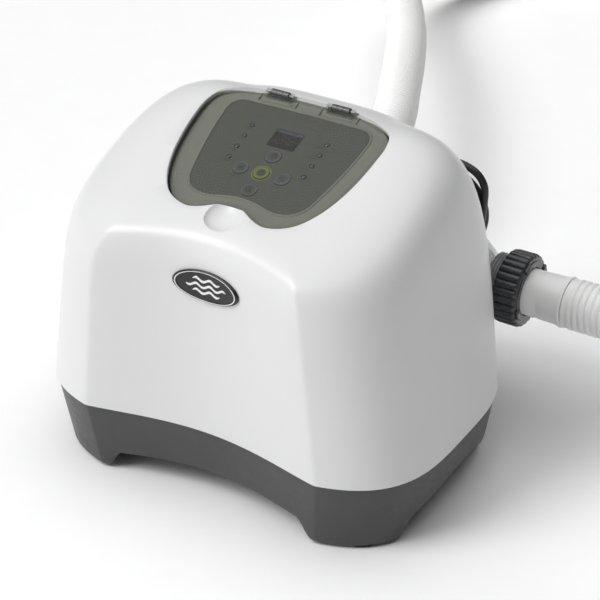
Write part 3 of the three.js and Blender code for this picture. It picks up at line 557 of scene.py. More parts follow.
def nut_shape():
    """Ribbed union nut along +Z, open towards the collar at z = 0, with lugs on its far face."""
    per_rib = 10
    sides = NUT_RIBS * per_rib
    groove = [1 - abs(math.sin(math.pi * (k % per_rib) / per_rib)) ** 0.55 for k in range(sides)]
    turns = [2 * math.pi * k / sides for k in range(sides)]
    top = NUT_LENGTH
    # radius, depth of the grooves between ribs, height
    levels = [(COLLAR_R + 0.9, 0, 0.4), (COLLAR_R + 1.4, 0, 0), (NUT_R - 2.6, 0.4, 0), (NUT_R - 1, 1.2, 0.8),
              (NUT_R - 0.15, 2, 2.2), (NUT_R, 2.2, 4), (NUT_R, 2.2, top - 4.5), (NUT_R - 0.3, 2, top - 3),
              (NUT_R - 1.5, 1.2, top - 1.4), (NUT_R - 3.4, 0.3, top - 0.9), (NUT_R - 5.2, 0, top - 0.9),
              (NUT_R - 5.6, 0, top), (HOSE_R - 0.5, 0, top), (HOSE_R - 0.9, 0, top - 0.5),
              (HOSE_R - 0.9, 0, top - 5.5), (HOSE_R - 0.5, 0, top - 6), (COLLAR_R + 0.9, 0, top - 6.2)]
    points = [((r - depth * g) * math.cos(a), (r - depth * g) * math.sin(a), z)
              for r, depth, z in levels for a, g in zip(turns, groove)]
    lugs = [moved(block(5.4, 9, 2.6, NUT_R - 5.4, 0, NUT_LENGTH + 0.1, 0.7),
                  Matrix.Rotation(math.radians(a), 4, "Z")) for a in (20, 110, 200, 290)]
    return merged((points, band_faces(len(levels), sides)), *lugs)


def make_nut(name, matrix, body, node):
    piece = new_object(name, *moved(nut_shape(), matrix))
    return settle(piece, None, "black_nut", body, [node], sharp=50)


def make_cuff(name, matrix, node):
    """Hose cuff along +Z with the flange that the nut holds."""
    inner = HOSE_R - 4
    profile = [(inner, 0), (COLLAR_R - 1.1, 0), (COLLAR_R - 0.6, 0.5), (COLLAR_R - 0.6, 3.5),
               (COLLAR_R - 1.1, 4), (21.6, 4.4), (21.2, 5.2), (21.1, 27.3), (20.9, 27.6), (20.9, 28.0),
               (21.5, 28.3), (21.6, 36), (22.0, 46.6), (22.9, 47.0), (23.2, 47.6), (23.2, 49.2),
               (22.8, CUFF_LENGTH), (inner, CUFF_LENGTH)]
    piece = new_object(name, *moved(revolve(profile, 72), matrix))
    return settle(piece, None, "hose_white", replaces=[node], sharp=40)


def make_hoses():
    flip = Matrix.Rotation(math.pi, 4, "X")
    plans = (
        ("outlet", OUTLET_ROUTE, ground_arc((490, 892), math.atan2(76, 2), 1.72, 12),
         OUTLET_PORT, (OUTLET_END + CUFF_AT + CUFF_LENGTH, CELL_Y, CELL_Z)),
        ("inlet", INLET_ROUTE, ground_arc((-237, 1088), math.atan2(13, 16), -1.96, 11),
         INLET_PORT, (INLET_X, INLET_END + CUFF_AT + CUFF_LENGTH, CELL_Z)),
    )
    for name, route, arc, port, leaves in plans:
        make_nut(f"{name}_union_nut", port @ translated(0, 0, NUT_START), f"{name}_nut", f"{name}_nut")
        cuff = make_cuff(f"{name}_hose_cuff", port @ translated(0, 0, CUFF_AT), f"{name}_cuff")
        hose, line, length, path = make_hose(name, route, arc)
        tip = along(path[-1] - path[-2], path[-1])
        far_cuff = make_cuff(f"{name}_far_cuff", tip @ translated(0, 0, CUFF_LENGTH + END_GAP) @ flip,
                             f"{name}_hose_end_cuff")
        nut_place = tip @ translated(0, 0, CUFF_LENGTH + END_GAP + END_NUT_BACK) @ flip
        far_nut = make_nut(f"{name}_far_nut", nut_place, f"{name}_end_nut", f"{name}_hose_end_nut")
        tuple(place([leaves])[0])
        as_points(line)


make_hoses()

# ---------- mains cord ----------
LEAD_ROUTE = [
    (50, 143, 229.5), (60, 143.8, 231.4), (72, 144.6, 233), (84, 145.2, 234), (95, 145.8, 234),
    (105.5, 146.2, 231.8), (114.5, 146.5, 226.8), (120.3, 146.5, 218.6), (121.8, 146.3, 210)]
TAIL_ROUTE = [(73, 151.6, 146.6), (62, 150, 145), (54, 147, 142.2), (49.5, 147.6, 138), (44, 148, 134.4),
              (37.4, 148.2, 132.2)]
# layer (0 is outermost) and sideways place of each turn, in the order in which it was wound
WINDING = [(0, 0), (0, 1), (1, 1), (2, 1), (2, 0), (1, 0), (1, -1), (0, -1)]


def coil_points(steps=32):
    """The wound turns, clockwise from the right, each turn easing over to the next place."""
    points = []
    outer = COIL_R - CORD_D / 2
    total = len(WINDING) * steps + steps // 4
    for k in range(total):
        turn, part = divmod(k, steps)
        here = WINDING[min(turn, len(WINDING) - 1)]
        after = WINDING[min(turn + 1, len(WINDING) - 1)]
        t = ease((part / steps - 0.62) / 0.38)
        layer = here[0] + (after[0] - here[0]) * t
        across = here[1] + (after[1] - here[1]) * t
        sag = 0.35 * math.sin(2.3 * turn + 6.283 * part / steps)
        r = outer - layer * CORD_D - 0.2 + sag * 0.5
        a = -2 * math.pi * k / steps
        points.append((COIL_X + r * math.cos(a), COIL_Y - across * CORD_D * 0.99 + sag * 0.3,
                       COIL_Z + r * math.sin(a)))
    return points


def make_cord():
    line = catmull(LEAD_ROUTE + coil_points()[2:] + TAIL_ROUTE, 3)
    curve = bpy.data.curves.new("mains_cord", "CURVE")
    curve.dimensions = "3D"
    curve.bevel_depth = CORD_D / 2 * MM
    curve.bevel_resolution = 5
    curve.use_fill_caps = True
    spline = curve.splines.new("POLY")
    spline.points.add(len(line) - 1)
    spline.points.foreach_set("co", np.hstack([place(line), np.ones((len(line), 1))]).ravel())
    spline.use_smooth = True
    piece = add_to_scene(bpy.data.objects.new("mains_cord", curve))
    curve.materials.append(MATERIALS["cord_black"])
    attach(piece, "root")
    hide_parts("cord_lead", "cord_coil", "cord_tail")
    return piece


def make_gland():
    x, y, z = GLAND
    start = Vector((x, y + 8, z))
    end = Vector(LEAD_ROUTE[0])
    boss = moved(rod(10.5, 5, 48, 0.9), translated(x, y, z) @ ALONG_Y)
    hexagon = moved(rod(11.6, 3.2, 6, 0.5), translated(x, y + 1.4, z) @ ALONG_Y)
    neck = moved(rod(6, 11, 40, 0.3), translated(x, y - 11, z) @ ALONG_Y)
    knee_points = catmull([(x, y + 3, z), (x, y + 7.5, z + 0.1), (x + 3.5, y + 10.6, z + 0.6),
                           tuple(start + (end - start) * 0.6), tuple(end)], 12)
    widths = np.interp(np.linspace(0, 1, len(knee_points)), [0, 0.35, 0.5, 1], [7.4, 7.3, 6.6, 4.3])
    ribs = 0.35 * np.cos(np.arange(len(knee_points)) * 2 * math.pi / 6)
    relief = sweep(knee_points, widths - np.clip(ribs, 0, 1), 28)
    piece = new_object("cord_strain_relief", *merged(boss, hexagon, neck, relief))
    settle(piece, None, "cord_black", replaces=["cord_gland"], sharp=40)


def make_tie():
    """Flat band wrapped round the bundle with its buckle."""
    section, depth = 3 * CORD_D + 2.0, 3 * CORD_D + 1.6
    out, a = COIL_R - 1.5 * CORD_D, math.radians(165)
    ring = squircle(section / 2, depth / 2, 6, 48)
    levels = [(1.0, -3.6), (1.05, -4.0), (1.1, -4.0), (1.13, -3.6), (1.13, 3.6), (1.1, 4.0), (1.05, 4.0),
              (1.0, 3.6)]
    points = [(x * g, y * g, z) for g, z in levels for x, y in ring]
    faces = band_faces(len(levels), len(ring))
    buckle = block(7, 3.6, 9, 1.5, -depth / 2 - 1.6, 0, 0.8)
    where = translated(COIL_X + out * math.cos(a), COIL_Y, COIL_Z + out * math.sin(a)) @ Matrix.Rotation(
        -a, 4, "Y")
    piece = new_object("cord_band", *moved(merged((points, faces), buckle), where))
    return settle(piece, None, "black_nut", replaces=["cord_tie"], sharp=45)


def make_plug():
    """Moulded three-pin plug lying in the groove behind the case, its pins towards the left."""
    section = squircle(9.5, 11.5, 3.4, 64)
    stations = [(0, 0.86), (-0.8, 0.95), (-2.5, 1.0), (-9, 1.0), (-12, 0.93), (-20, 0.9), (-26, 0.97),
                (-31.5, 1.0), (-33.2, 0.96), (-34, 0.88)]
    rings = [[(x, y * grow, z * grow) for y, z in section] for x, grow in stations]
    grips = [block(1.3, 19.3, 15, -13.5 - 2.6 * k, 0, 0, 0.5) for k in range(4)]
    relief_line = [(x, 0, 0) for x in np.linspace(-1, 16, 35)]
    widths = [np.interp(x, [-1, 2, 16], [7.2, 6.6, 4.2]) - (0.7 if 0.4 < (x / 3.0) % 1 < 0.75 else 0)
              for x, _, _ in relief_line]
    relief = sweep(relief_line, widths, 32)
    where = translated(PLUG[0] - 17, PLUG[1], PLUG[2])
    body = new_object("plug_body", *moved(merged(loft(rings), *grips, relief), where))
    settle(body, None, "cord_black", replaces=["mains_plug"], sharp=40)
    blades = [block(18, 1.5, 6.3, -8, s * 6.3, 3, 0.5) for s in (-1, 1)]
    earth = moved(rod(2.4, 21, 32, 1.0), translated(-19.5, 0, -5.5) @ ALONG_X)
    pins = new_object("plug_blades", *moved(merged(*blades, earth), translated(
        PLUG[0] - 17 - 34 - 1.8, PLUG[1], PLUG[2])))
    settle(pins, None, "brass", replaces=["plug_pins"], sharp=40)
    return body, pins


def make_mains():
    cord = make_cord()
    make_gland()
    tie = make_tie()
    plug, pins = make_plug()
    tuple(place([LEAD_ROUTE[0]])[0])


make_mains()


# ---------- case surface ----------
def mix(a, b, t):
    return a + (b - a) * t


def plan_radius(angle, inset):
    reach = FRONT_DEPTH if math.sin(angle) < 0 else REAR_DEPTH
    c = abs(math.cos(angle)) / (HALF_WIDTH - inset)
    s = abs(math.sin(angle)) / (reach - inset)
    return (c ** PLAN_POWER + s ** PLAN_POWER) ** (-1 / PLAN_POWER)


def hollow(x, y, scale):
    """How far the front face is drawn in; the power keeps a soft crease at its two edges."""
    if y > 0 or abs(x) > HOLLOW_HALF_WIDTH:
        return 0
    return FRONT_HOLLOW * (1 - (x / HOLLOW_HALF_WIDTH) ** 2) ** HOLLOW_POWER * ease((scale - 0.55) / 0.3)


def shoulder_power(angle):
    s = math.sin(angle)
    return mix(9, 14, ease(-s * 1.6 - 0.5)) if s < 0 else mix(9, 3.3, ease(s * 1.2 + 0.1))


def ring_angles(sides):
    """Evenly spaced angles round the case."""
    return [2 * math.pi * k / sides for k in range(sides)]


def top_ring(rise, inset, angles):
    ring = []
    c, s = math.cos(rise), math.sin(rise)
    for angle in angles:
        power = shoulder_power(angle)
        reach = (c ** power + s ** power) ** (-1 / power)
        scale = c * reach
        r = plan_radius(angle, inset)
        x, y = r * math.cos(angle), r * math.sin(angle)
        py = (y + hollow(x, y, scale)) * scale
        ring.append((x * scale * (1 - SIDE_TAPER * s * reach), py,
                     SEAM_Z + s * reach * (CROWN - inset + SLOPE * py)))
    return ring


def surface_height(x, y):
    """Z of the case's top over a place near its middle, where the front isn't hollow."""
    up = 1.0
    for _ in range(6):
        wide = x / (1 - SIDE_TAPER * up)
        angle = math.atan2(y, wide)
        scale = math.hypot(wide, y) / plan_radius(angle, 0)
        power = shoulder_power(angle)
        up = (1 - scale ** power) ** (1 / power)
    return SEAM_Z + up * (CROWN + SLOPE * y)


# ---------- control deck outlines, seen square to the deck ----------
LID_HALF = [(0, -61), (11, -63), (22, -69), (34, -73), (47, -70.5), (59, -63), (69, -49), (77, -29),
            (82, -6), (84.5, 18), (84.5, 38), (80, 51), (68, 58.5), (46, 64)]
MEMBRANE_HALF = [(0, -47), (14, -49), (32, -53), (46, -50), (54, -41), (59, -22), (63.5, 4), (66, 28),
                 (66, 44), (60, 51.5), (40, 53)]
DECK_SIDES = 288


def outline_radius(half):
    """Distance of a mirrored outline from the deck's origin, at evenly spaced angles."""
    points = list(half) + [(-x, y) for x, y in reversed(half[1:])]
    curve = catmull([(x, y, 0) for x, y in points], 16, closed=True)
    angle = np.unwrap(np.arctan2(curve[:, 1], curve[:, 0]))
    radius = np.hypot(curve[:, 0], curve[:, 1])
    wanted = np.arange(DECK_SIDES) * 2 * math.pi / DECK_SIDES
    angle = np.concatenate([angle - 2 * math.pi, angle, angle + 2 * math.pi])
    radius = np.tile(radius, 3)
    order = np.argsort(angle)
    return np.interp(wanted - math.pi / 2, angle[order], radius[order])


LID_RADIUS = outline_radius(LID_HALF)
MEMBRANE_RADIUS = outline_radius(MEMBRANE_HALF)
DECK_ANGLES = np.arange(DECK_SIDES) * 2 * math.pi / DECK_SIDES - math.pi / 2


def deck_ring(radius, grow, w):
    """Ring in deck coordinates (x, up the slope, outwards); w is one height or one per point."""
    r = radius + grow
    w = np.broadcast_to(np.array(w, float), r.shape)
    return [(a * math.cos(t), a * math.sin(t), h) for a, t, h in zip(r, DECK_ANGLES, w)]


def deck_rings(radius, *levels):
    return [deck_ring(radius, grow, w) for grow, w in levels]


ON_DECK = Matrix.Translation((0, 0, DECK_Z)) @ Matrix.Rotation(DECK_TILT, 4, "X")


def deck_piece(name, shape):
    """Object from a shape in deck coordinates."""
    return new_object(name, *moved(shape, ON_DECK))


def skin_height(x, v):
    """Height of the case's surface above the deck plane."""
    w = 3.0
    for _ in range(12):
        y = v * math.cos(DECK_TILT) - w * math.sin(DECK_TILT)
        z = DECK_Z + v * math.sin(DECK_TILT) + w * math.cos(DECK_TILT)
        w += (surface_height(x, y) - z) * 0.8
    return w


SKIN_AT_LID = np.array([skin_height(r * math.cos(t), r * math.sin(t))
                        for r, t in zip(LID_RADIUS + 0.8, DECK_ANGLES)])


# ---------- case ----------
def bowl(radius):
    """Flattened ball that the thumb scoop is the lower part of."""
    halves = [math.pi * (k + 0.5) / 29 for k in range(29)]
    return loft(round_rings(0, SCOOP_V, [(radius * math.sin(t), SCOOP_W - SCOOP_FLAT * radius * math.cos(t))
                                         for t in halves], 72))


def make_top():
    angles = ring_angles(384)
    rises = [0, 4, 9, 14, 19, 24, 28, 31.5, 34.5, 37, 39, 41, 42.5, 44, 45.5, 47, 48.5, 50.5, 52.5, 55, 58,
             62, 66, 70, 74, 78, 82, 86, 89]
    outer = [top_ring(math.radians(d), 0, angles) for d in rises]
    inner = [top_ring(math.radians(d), WALL, angles) for d in (89, 80, 70, 60, 52, 48, 45, 42, 38, 30, 15, 0)]
    sides = len(angles)
    points = [p for ring in outer + inner for p in ring]
    faces = ring_faces(len(outer), sides)
    start = len(outer) * sides
    faces += [tuple(start + i for i in f) for f in ring_faces(len(inner), sides)]
    bottom_in = start + (len(inner) - 1) * sides
    faces += [(bottom_in + i, bottom_in + (i + 1) % sides, (i + 1) % sides, i) for i in range(sides)]
    add_fan(points, faces, start - sides, sides, np.mean(np.array(outer[-1]), 0), False)
    add_fan(points, faces, start, sides, np.mean(np.array(inner[0]), 0), True)
    case = new_object("case_top", points, faces)

    # pocket for the deck, its rim rounded where it meets the skin
    levels = [(0.8, -14.0, False), (0.8, -1.1, True), (0.95, -0.55, True), (1.3, -0.15, True),
              (2.2, 0.25, True), (6.0, 3.0, True), (6.0, 30.0, False)]
    rings = [deck_ring(LID_RADIUS, grow, SKIN_AT_LID + w if on_skin else w) for grow, w, on_skin in levels]
    pocket = deck_piece("pocket", loft(rings))
    pads = [deck_piece("pad", block(27.4, 13, 34, s * KNUCKLE_X, 64.2, 3, 0.8)) for s in (-1, 1)]
    hole = rod_piece("hole", 6.4, 60, 40, translated(GLAND[0], 90, GLAND[2]) @ ALONG_Y)

    # scoop below the lid's notch, with the wall carried round behind it
    solid = new_object("solid", *loft([top_ring(math.radians(d), WALL / 2, angles[::3]) for d in rises]))
    backing = deck_piece("backing", bowl(BACKING_R))
    boolean(backing, [solid], "INTERSECT")
    boolean(case, [backing], "UNION")
    boolean(case, [pocket, *pads, hole, deck_piece("scoop", bowl(SCOOP_R))])
    return settle(case, None, "white_shell", replaces=["top_shell"], sharp=34)


def foot_step(distance, width):
    """0 inside an arch to 1 in a foot, with an S-shaped side."""
    return ease((distance - width) / 16 + 0.5)


def underside(x, y):
    """Height of the base's lower surface: the higher of the two arches, or a foot."""
    lengthwise = mix(19 + 4 * max(0, 1 - (x / 90) ** 2), FOOT_PAD, foot_step(abs(x), 95))
    crosswise = mix(22 + 11 * max(0, 1 - ((y - 5) / 68) ** 2), FOOT_PAD, foot_step(abs(y - 5), 72))
    return max(lengthwise, crosswise, FOOT_PAD)


def base_point(angle, z, inset):
    drop = 1 - z / SEAM_Z
    r = plan_radius(angle, inset)
    x, y = r * math.cos(angle), r * math.sin(angle)
    return x * (1 - BASE_TAPER_X * drop), (y + hollow(x, y, 1)) * (1 - BASE_TAPER_Y * drop)


def make_base():
    angles = ring_angles(720)
    low = [underside(*base_point(a, 12, 1)) for a in angles]
    rings = []
    for share in np.linspace(0.04, 0.98, 48):
        ring = []
        for a in angles:
            x, y = base_point(a, 12, 2.6)
            ring.append((x * share, y * share, underside(x * share, y * share)))
        rings.append(ring)
    for inset, lift in ((2.4, 0.0), (1.7, 0.35), (1.2, 1.0), (1.0, 2.0)):
        rings.append([(*base_point(a, h + lift, inset), h + lift) for a, h in zip(angles, low)])
    for share in (0.12, 0.3, 0.5, 0.75, 0.97):
        rings.append([(*base_point(a, mix(h + 2, SEAM_Z - 0.7, share), 1), mix(h + 2, SEAM_Z - 0.7, share))
                      for a, h in zip(angles, low)])
    for inset, z in ((1.1, SEAM_Z - 0.75), (1.6, SEAM_Z - 0.6), (4, SEAM_Z - 0.6), (4, FLOOR_Z + 6),
                     (5, FLOOR_Z + WALL)):
        rings.append([(*base_point(a, z, inset), z) for a in angles])
    base = new_object("case_base", *loft(rings))
    boolean(base, [rod_piece("hole", 6.5, 14, 32, translated(x, y, -2)) for x, y in FEET])
    return settle(base, None, "grey_base", replaces=["base_shell"], sharp=38)


def make_feet():
    profile = [(7.5, 2.7), (7.5, 0.5), (8.0, 0), (9.6, 0), (10.1, 0.5), (11.4, 0.5), (11.9, 0), (13.3, 0),
               (14, 0.8), (14, 2.7)]
    for k, (x, y) in enumerate(FEET):
        pad = new_object(f"foot_pad_{k + 1}", *moved(revolve(profile, 56), translated(x, y, 0)))
        settle(pad, None, "black_rubber", replaces=[f"rubber_foot_{k + 1}"], sharp=40)


make_top()
make_base()
make_feet()


# ---------- badge ----------
def front_surface(x, z):
    """Y of the hollow front face at a place on it."""
    power = shoulder_power(-math.pi / 2)
    y = -FRONT_DEPTH
    for _ in range(10):
        up = (z - SEAM_Z) / (CROWN + SLOPE * y)
        scale = (1 - up ** power) ** (1 / power)
        y = (-FRONT_DEPTH + hollow(x / (scale * (1 - SIDE_TAPER * up)), -1, scale)) * scale
    return y


BADGE_X, BADGE_Z, BADGE_HALF_W, BADGE_HALF_H = 3, 209, 31.5, 13.5


def on_front(u, v, proud):
    """Point over the front face at (u, v) millimetres from the badge's centre."""
    x, z = BADGE_X + u, BADGE_Z + v
    y = front_surface(x, z)
    slope_x = (front_surface(x + 1, z) - front_surface(x - 1, z)) / 2
    slope_z = (front_surface(x, z + 1) - front_surface(x, z - 1)) / 2
    out = Vector((slope_x, -1, slope_z)).normalized()
    return tuple(Vector((x, y, z)) + out * proud)


def oval_line(inner, outer, low, high, sides=120):
    """Thin closed strip round the badge, between two fractions of its size."""
    points = []
    for a in np.linspace(0, 2 * math.pi, sides, endpoint=False):
        for grow, proud in ((inner, low), (outer, low), (outer, high), (inner, high)):
            points.append(on_front(BADGE_HALF_W * grow * math.cos(a), BADGE_HALF_H * grow * math.sin(a),
                                   proud))
    return points, band_faces(sides, 4)


def make_badge():
    sides = 120
    levels = [(0.2, 1.5), (0.6, 1.5), (0.86, 1.5), (0.875, 1.55), (0.89, 2.2), (0.93, 2.5), (0.97, 2.3),
              (0.99, 1.8), (1.0, 1.2), (1.0, 0.3)]
    rings = [[on_front(BADGE_HALF_W * g * math.cos(a), BADGE_HALF_H * g * math.sin(a), proud)
              for a in np.linspace(0, 2 * math.pi, sides, endpoint=False)] for g, proud in reversed(levels)]
    plaque = new_object("front_plaque", *loft(rings))
    settle(plaque, None, "black_gloss", replaces=["badge"], sharp=50)
    waves = [oval_line(0.9, 0.93, 2.25, 2.62)]
    for row, (half, lift) in enumerate(((13.0, 5.2), (19.0, 0.0), (13.0, -5.2))):
        points = []
        steps = 60
        for k in range(steps + 1):
            u = -half + 2 * half * k / steps
            v = lift + 1.35 * math.sin(u * 2 * math.pi / 13)
            taper = min(1.0, (half - abs(u)) / 3.5) ** 0.5 if abs(u) < half else 0.05
            w = 1.15 * taper + 0.05
            points += [on_front(u, v + w * share, proud)
                       for share, proud in ((-1, 1.4), (-0.7, 1.95), (0.7, 1.95), (1, 1.4))]
        ends = [(3, 2, 1, 0), tuple(4 * steps + j for j in range(4))]
        waves.append((points, ring_faces(steps + 1, 4) + ends))
    emblem = new_object("wave_emblem", *merged(*waves))
    settle(emblem, EMBLEM_WHITE, "white_shell", sharp=60)


make_badge()


# ---------- control deck ----------
LED_PLACES = [(side * LED_X, v) for side in (-1, 1) for v in LED_V]


def drills(places, radius, length, sides, bottom):
    """Cutting rods square to the deck."""
    return [deck_piece("drill", moved(rod(radius, length, sides), translated(x, v, bottom)))
            for x, v in places]


def make_bezel():
    rings = deck_rings(LID_RADIUS, (-0.9, -6.0), (-0.2, -5.4), (-0.2, -0.5), (-0.5, -0.1), (-0.9, 0.0),
                       (-4.6, 0.0), (-5.4, -0.35), (-6.2, -0.45))
    rings += deck_rings(MEMBRANE_RADIUS, (3.4, -0.45), (2.6, -0.3), (2.2, 0.2), (1.8, 0.45), (1.0, 0.45),
                        (0.5, 0.3), (0.3, 0.0), (0.3, -1.2))
    tray = deck_piece("deck_tray", loft(rings))
    wells = drills(BUTTONS.values(), BUTTON_R + 0.3, 10, 48, -2.6)
    shafts = drills(BUTTONS.values(), BUTTON_R - 1.4, 14, 32, -12)
    window = deck_piece("window", block(DISPLAY_W - 3, DISPLAY_H - 3, 30, 0, DISPLAY_V, 0, 0.8))
    lights = drills(LED_PLACES, 2.5, 30, 24, -15)
    boolean(tray, [*wells, *shafts, window, *lights])
    pieces, knuckles = [tray], []
    barrel_profile = [(1.4, 0), (2.7, 0), (3, 0.3), (3, 5.2), (2.75, 5.4), (2.75, 5.9), (3, 6.1), (3, 10.9),
                      (2.75, 11.1), (2.75, 11.6), (3, 11.8), (3, 16.7), (2.7, 17), (1.4, 17)]
    for side in (-1, 1):
        x = side * KNUCKLE_X
        pad = block(26.4, 12, 6, x, 64, -3, 0.4)
        saddle = block(17, 6, 7, x, HINGE_V, HINGE_W - 3.5, 0.5)
        barrel = moved(revolve(barrel_profile, 40), translated(x - 8.5, HINGE_V, HINGE_W) @ ALONG_X)
        pieces.append(deck_piece("pad", pad))
        knuckles.append(merged(saddle, barrel))
        for side_mark in (-1, 1):
            rib = block(1.2, 7, 1.4, x + side_mark * 17.4, 61.0, 0.4, 0.3)
            pieces.append(deck_piece("rib", rib))
    joined = join_pieces("deck_bezel", pieces)
    settle(joined, None, "deck_grey", replaces=["control_bezel"], sharp=40)
    settle(deck_piece("hinge_knuckles", merged(*knuckles)), KNUCKLE_DARK, "black_gloss", sharp=40)


def join_pieces(name, pieces):
    """One object out of several, in the order given."""
    mesh = bmesh.new()
    for piece in pieces:
        copy = piece.data.copy()
        copy.transform(piece.matrix_world)
        mesh.from_mesh(copy)
        bpy.data.meshes.remove(copy)
        bpy.data.objects.remove(piece)
    data = bpy.data.meshes.new(name)
    mesh.to_mesh(data)
    mesh.free()
    return add_to_scene(bpy.data.objects.new(name, data))


def make_membrane():
    rings = deck_rings(MEMBRANE_RADIUS, (0, -0.9), (0, -0.2), (-0.3, -0.03), (-0.9, 0.0), (-8, 0.0))
    skin = deck_piece("keypad_skin", loft(rings))
    window = deck_piece("window", block(DISPLAY_W + 0.6, DISPLAY_H + 0.6, 4, 0, DISPLAY_V, 0, 0.9))
    holes = drills(BUTTONS.values(), BUTTON_R + 0.3, 4, 56, -2)
    lights = drills(LED_PLACES, 2.5, 4, 32, -2)
    boolean(skin, [window, *holes, *lights])
    settle(skin, None, "membrane", replaces=["membrane_panel"], sharp=30)


def flat_ring(inner, outer, low, high, sides=56):
    return revolve([(inner, low), (outer, low), (outer, high), (inner, high)], sides)


def stroke(points, width, low, high):
    """Thin raised line through points in the deck plane."""
    shapes = []
    for (x0, y0), (x1, y1) in zip(points, points[1:]):
        length = math.hypot(x1 - x0, y1 - y0) + width * 0.6
        turn = Matrix.Rotation(math.atan2(y1 - y0, x1 - x0), 4, "Z")
        bar = block(length, width, high - low, 0, 0, 0, 0)
        shapes.append(moved(bar, translated((x0 + x1) / 2, (y0 + y1) / 2, (low + high) / 2) @ turn))
    return merged(*shapes)


def arc_points(radius, start, end, steps=14):
    return [(radius * math.cos(math.radians(a)), radius * math.sin(math.radians(a)))
            for a in np.linspace(start, end, steps)]


# plain pictograms: boost arrow, backwards, on and off, forwards with a bar, clock
ICONS = {
    "top": [arc_points(2.1, 60, 380, 20), [(1.0, 1.9), (2.4, 2.6), (2.2, 1.0)]],
    "left": [[(-0.2, 1.5), (-2.2, 0), (-0.2, -1.5), (-0.2, 1.5)],
             [(2.2, 1.5), (0.4, 0), (2.2, -1.5), (2.2, 1.5)]],
    "power": [arc_points(2.0, 125, 415, 18), [(0, 2.9), (0, 0.7)]],
    "right": [[(-2.2, 1.5), (-0.2, 0), (-2.2, -1.5), (-2.2, 1.5)], [(1.4, 1.9), (1.4, -1.9)]],
    "bottom": [arc_points(2.2, 0, 360, 22), [(0, 1.4), (0, 0), (1.1, -0.7)]],
}


def make_buttons():
    r = BUTTON_R
    levels = [(4.9, -6.2), (5.0, -6.0), (5.0, -0.9), (r - 0.1, -0.9), (r, -0.75), (r, 0.3), (r - 0.12, 0.5),
              (r - 0.4, 0.6), (r - 0.7, 0.58), (r - 1.0, 0.42), (4.8, 0.4), (3.6, 0.5), (2, 0.57), (0.6, 0.6)]
    for key, (x, v) in BUTTONS.items():
        cap = deck_piece(f"key_{key}", loft(round_rings(x, v, levels, 64)))
        settle(cap, None, "membrane", f"button_{key}", [f"button_{key}"], sharp=35)
        power = key == "power"
        band = flat_ring(4.3, 6.3, 0.36, 0.63) if power else flat_ring(5.5, 6.25, 0.36, 0.62)
        ring = deck_piece(f"key_{key}_ring", moved(band, translated(x, v, 0)))
        settle(ring, PRINT_LIME if power else PRINT_BLUE, "membrane", f"button_{key}", sharp=50)
        icon = merged(*[stroke(line, 0.85, 0.42, 0.66) for line in ICONS[key]])
        mark = deck_piece(f"key_{key}_mark", moved(icon, translated(x, v, 0)))
        settle(mark, PRINT_DARK, "black_gloss", f"button_{key}", sharp=50)
    halo = moved(flat_ring(7.45, 8.5, -0.05, 0.05), translated(*BUTTONS["power"], 0))
    settle(deck_piece("power_halo", halo), PRINT_LIME, "membrane", sharp=50)


def make_labels():
    """Small printed dashes where a keypad has its captions: no letters."""
    bars = []
    rng = np.random.default_rng(7)
    spots = [(s * LED_X + (-1.5 if s < 0 else -4.5), v - 4.3) for s in (-1, 1) for v in LED_V]
    spots += [(x, v - 9.6) for key, (x, v) in BUTTONS.items() if key != "power" and key != "top"]
    for x, v in spots:
        start = x - 4.5
        for _ in range(4):
            length = rng.uniform(0.9, 2.4)
            bars.append(stroke([(start, v), (start + length, v)], 0.75, -0.02, 0.045))
            start += length + rng.uniform(0.5, 0.8)
    piece = deck_piece("caption_marks", merged(*bars))
    settle(piece, PRINT_DARK, "black_gloss", sharp=50)


def make_display():
    glass = deck_piece("display_glass", block(DISPLAY_W, DISPLAY_H, 1, 0, DISPLAY_V, -0.42, 0.25))
    settle(glass, DISPLAY_DARK, "black_gloss", replaces=["display_window"], sharp=35)
    band = block(DISPLAY_W - 0.5, 3.4, 0.06, 0, DISPLAY_V + DISPLAY_H / 2 - 1.9, 0.08, 0)
    settle(deck_piece("display_band", band), DISPLAY_BAND, "black_gloss", sharp=50)
    digits = []
    for cx in (-5.2, 5.2):
        bars = [(0, dv, 4.6, 0.7) for dv in (5.2, 0, -5.2)]
        bars += [(dx, dv, 0.7, 4.2) for dv in (2.6, -2.6) for dx in (-3, 3)]
        digits += [block(wide, tall, 0.05, cx + dx, DISPLAY_V + dv, 0.09, 0) for dx, dv, wide, tall in bars]
    off = deck_piece("display_segments", merged(*digits))
    settle(off, PRINT_DARK, "black_gloss", sharp=50)


def make_leds():
    levels = [(2.35, -0.8), (2.4, 0.1), (2.3, 0.4), (2.0, 0.7), (1.4, 1.0), (0.7, 1.18), (0.15, 1.22)]
    domes = [loft(round_rings(x, v, levels, 36)) for x, v in LED_PLACES]
    piece = deck_piece("indicator_domes", merged(*domes))
    settle(piece, LED_LENS, "black_gloss", sharp=50)


make_bezel()
make_membrane()
make_buttons()
make_labels()
make_display()
make_leds()


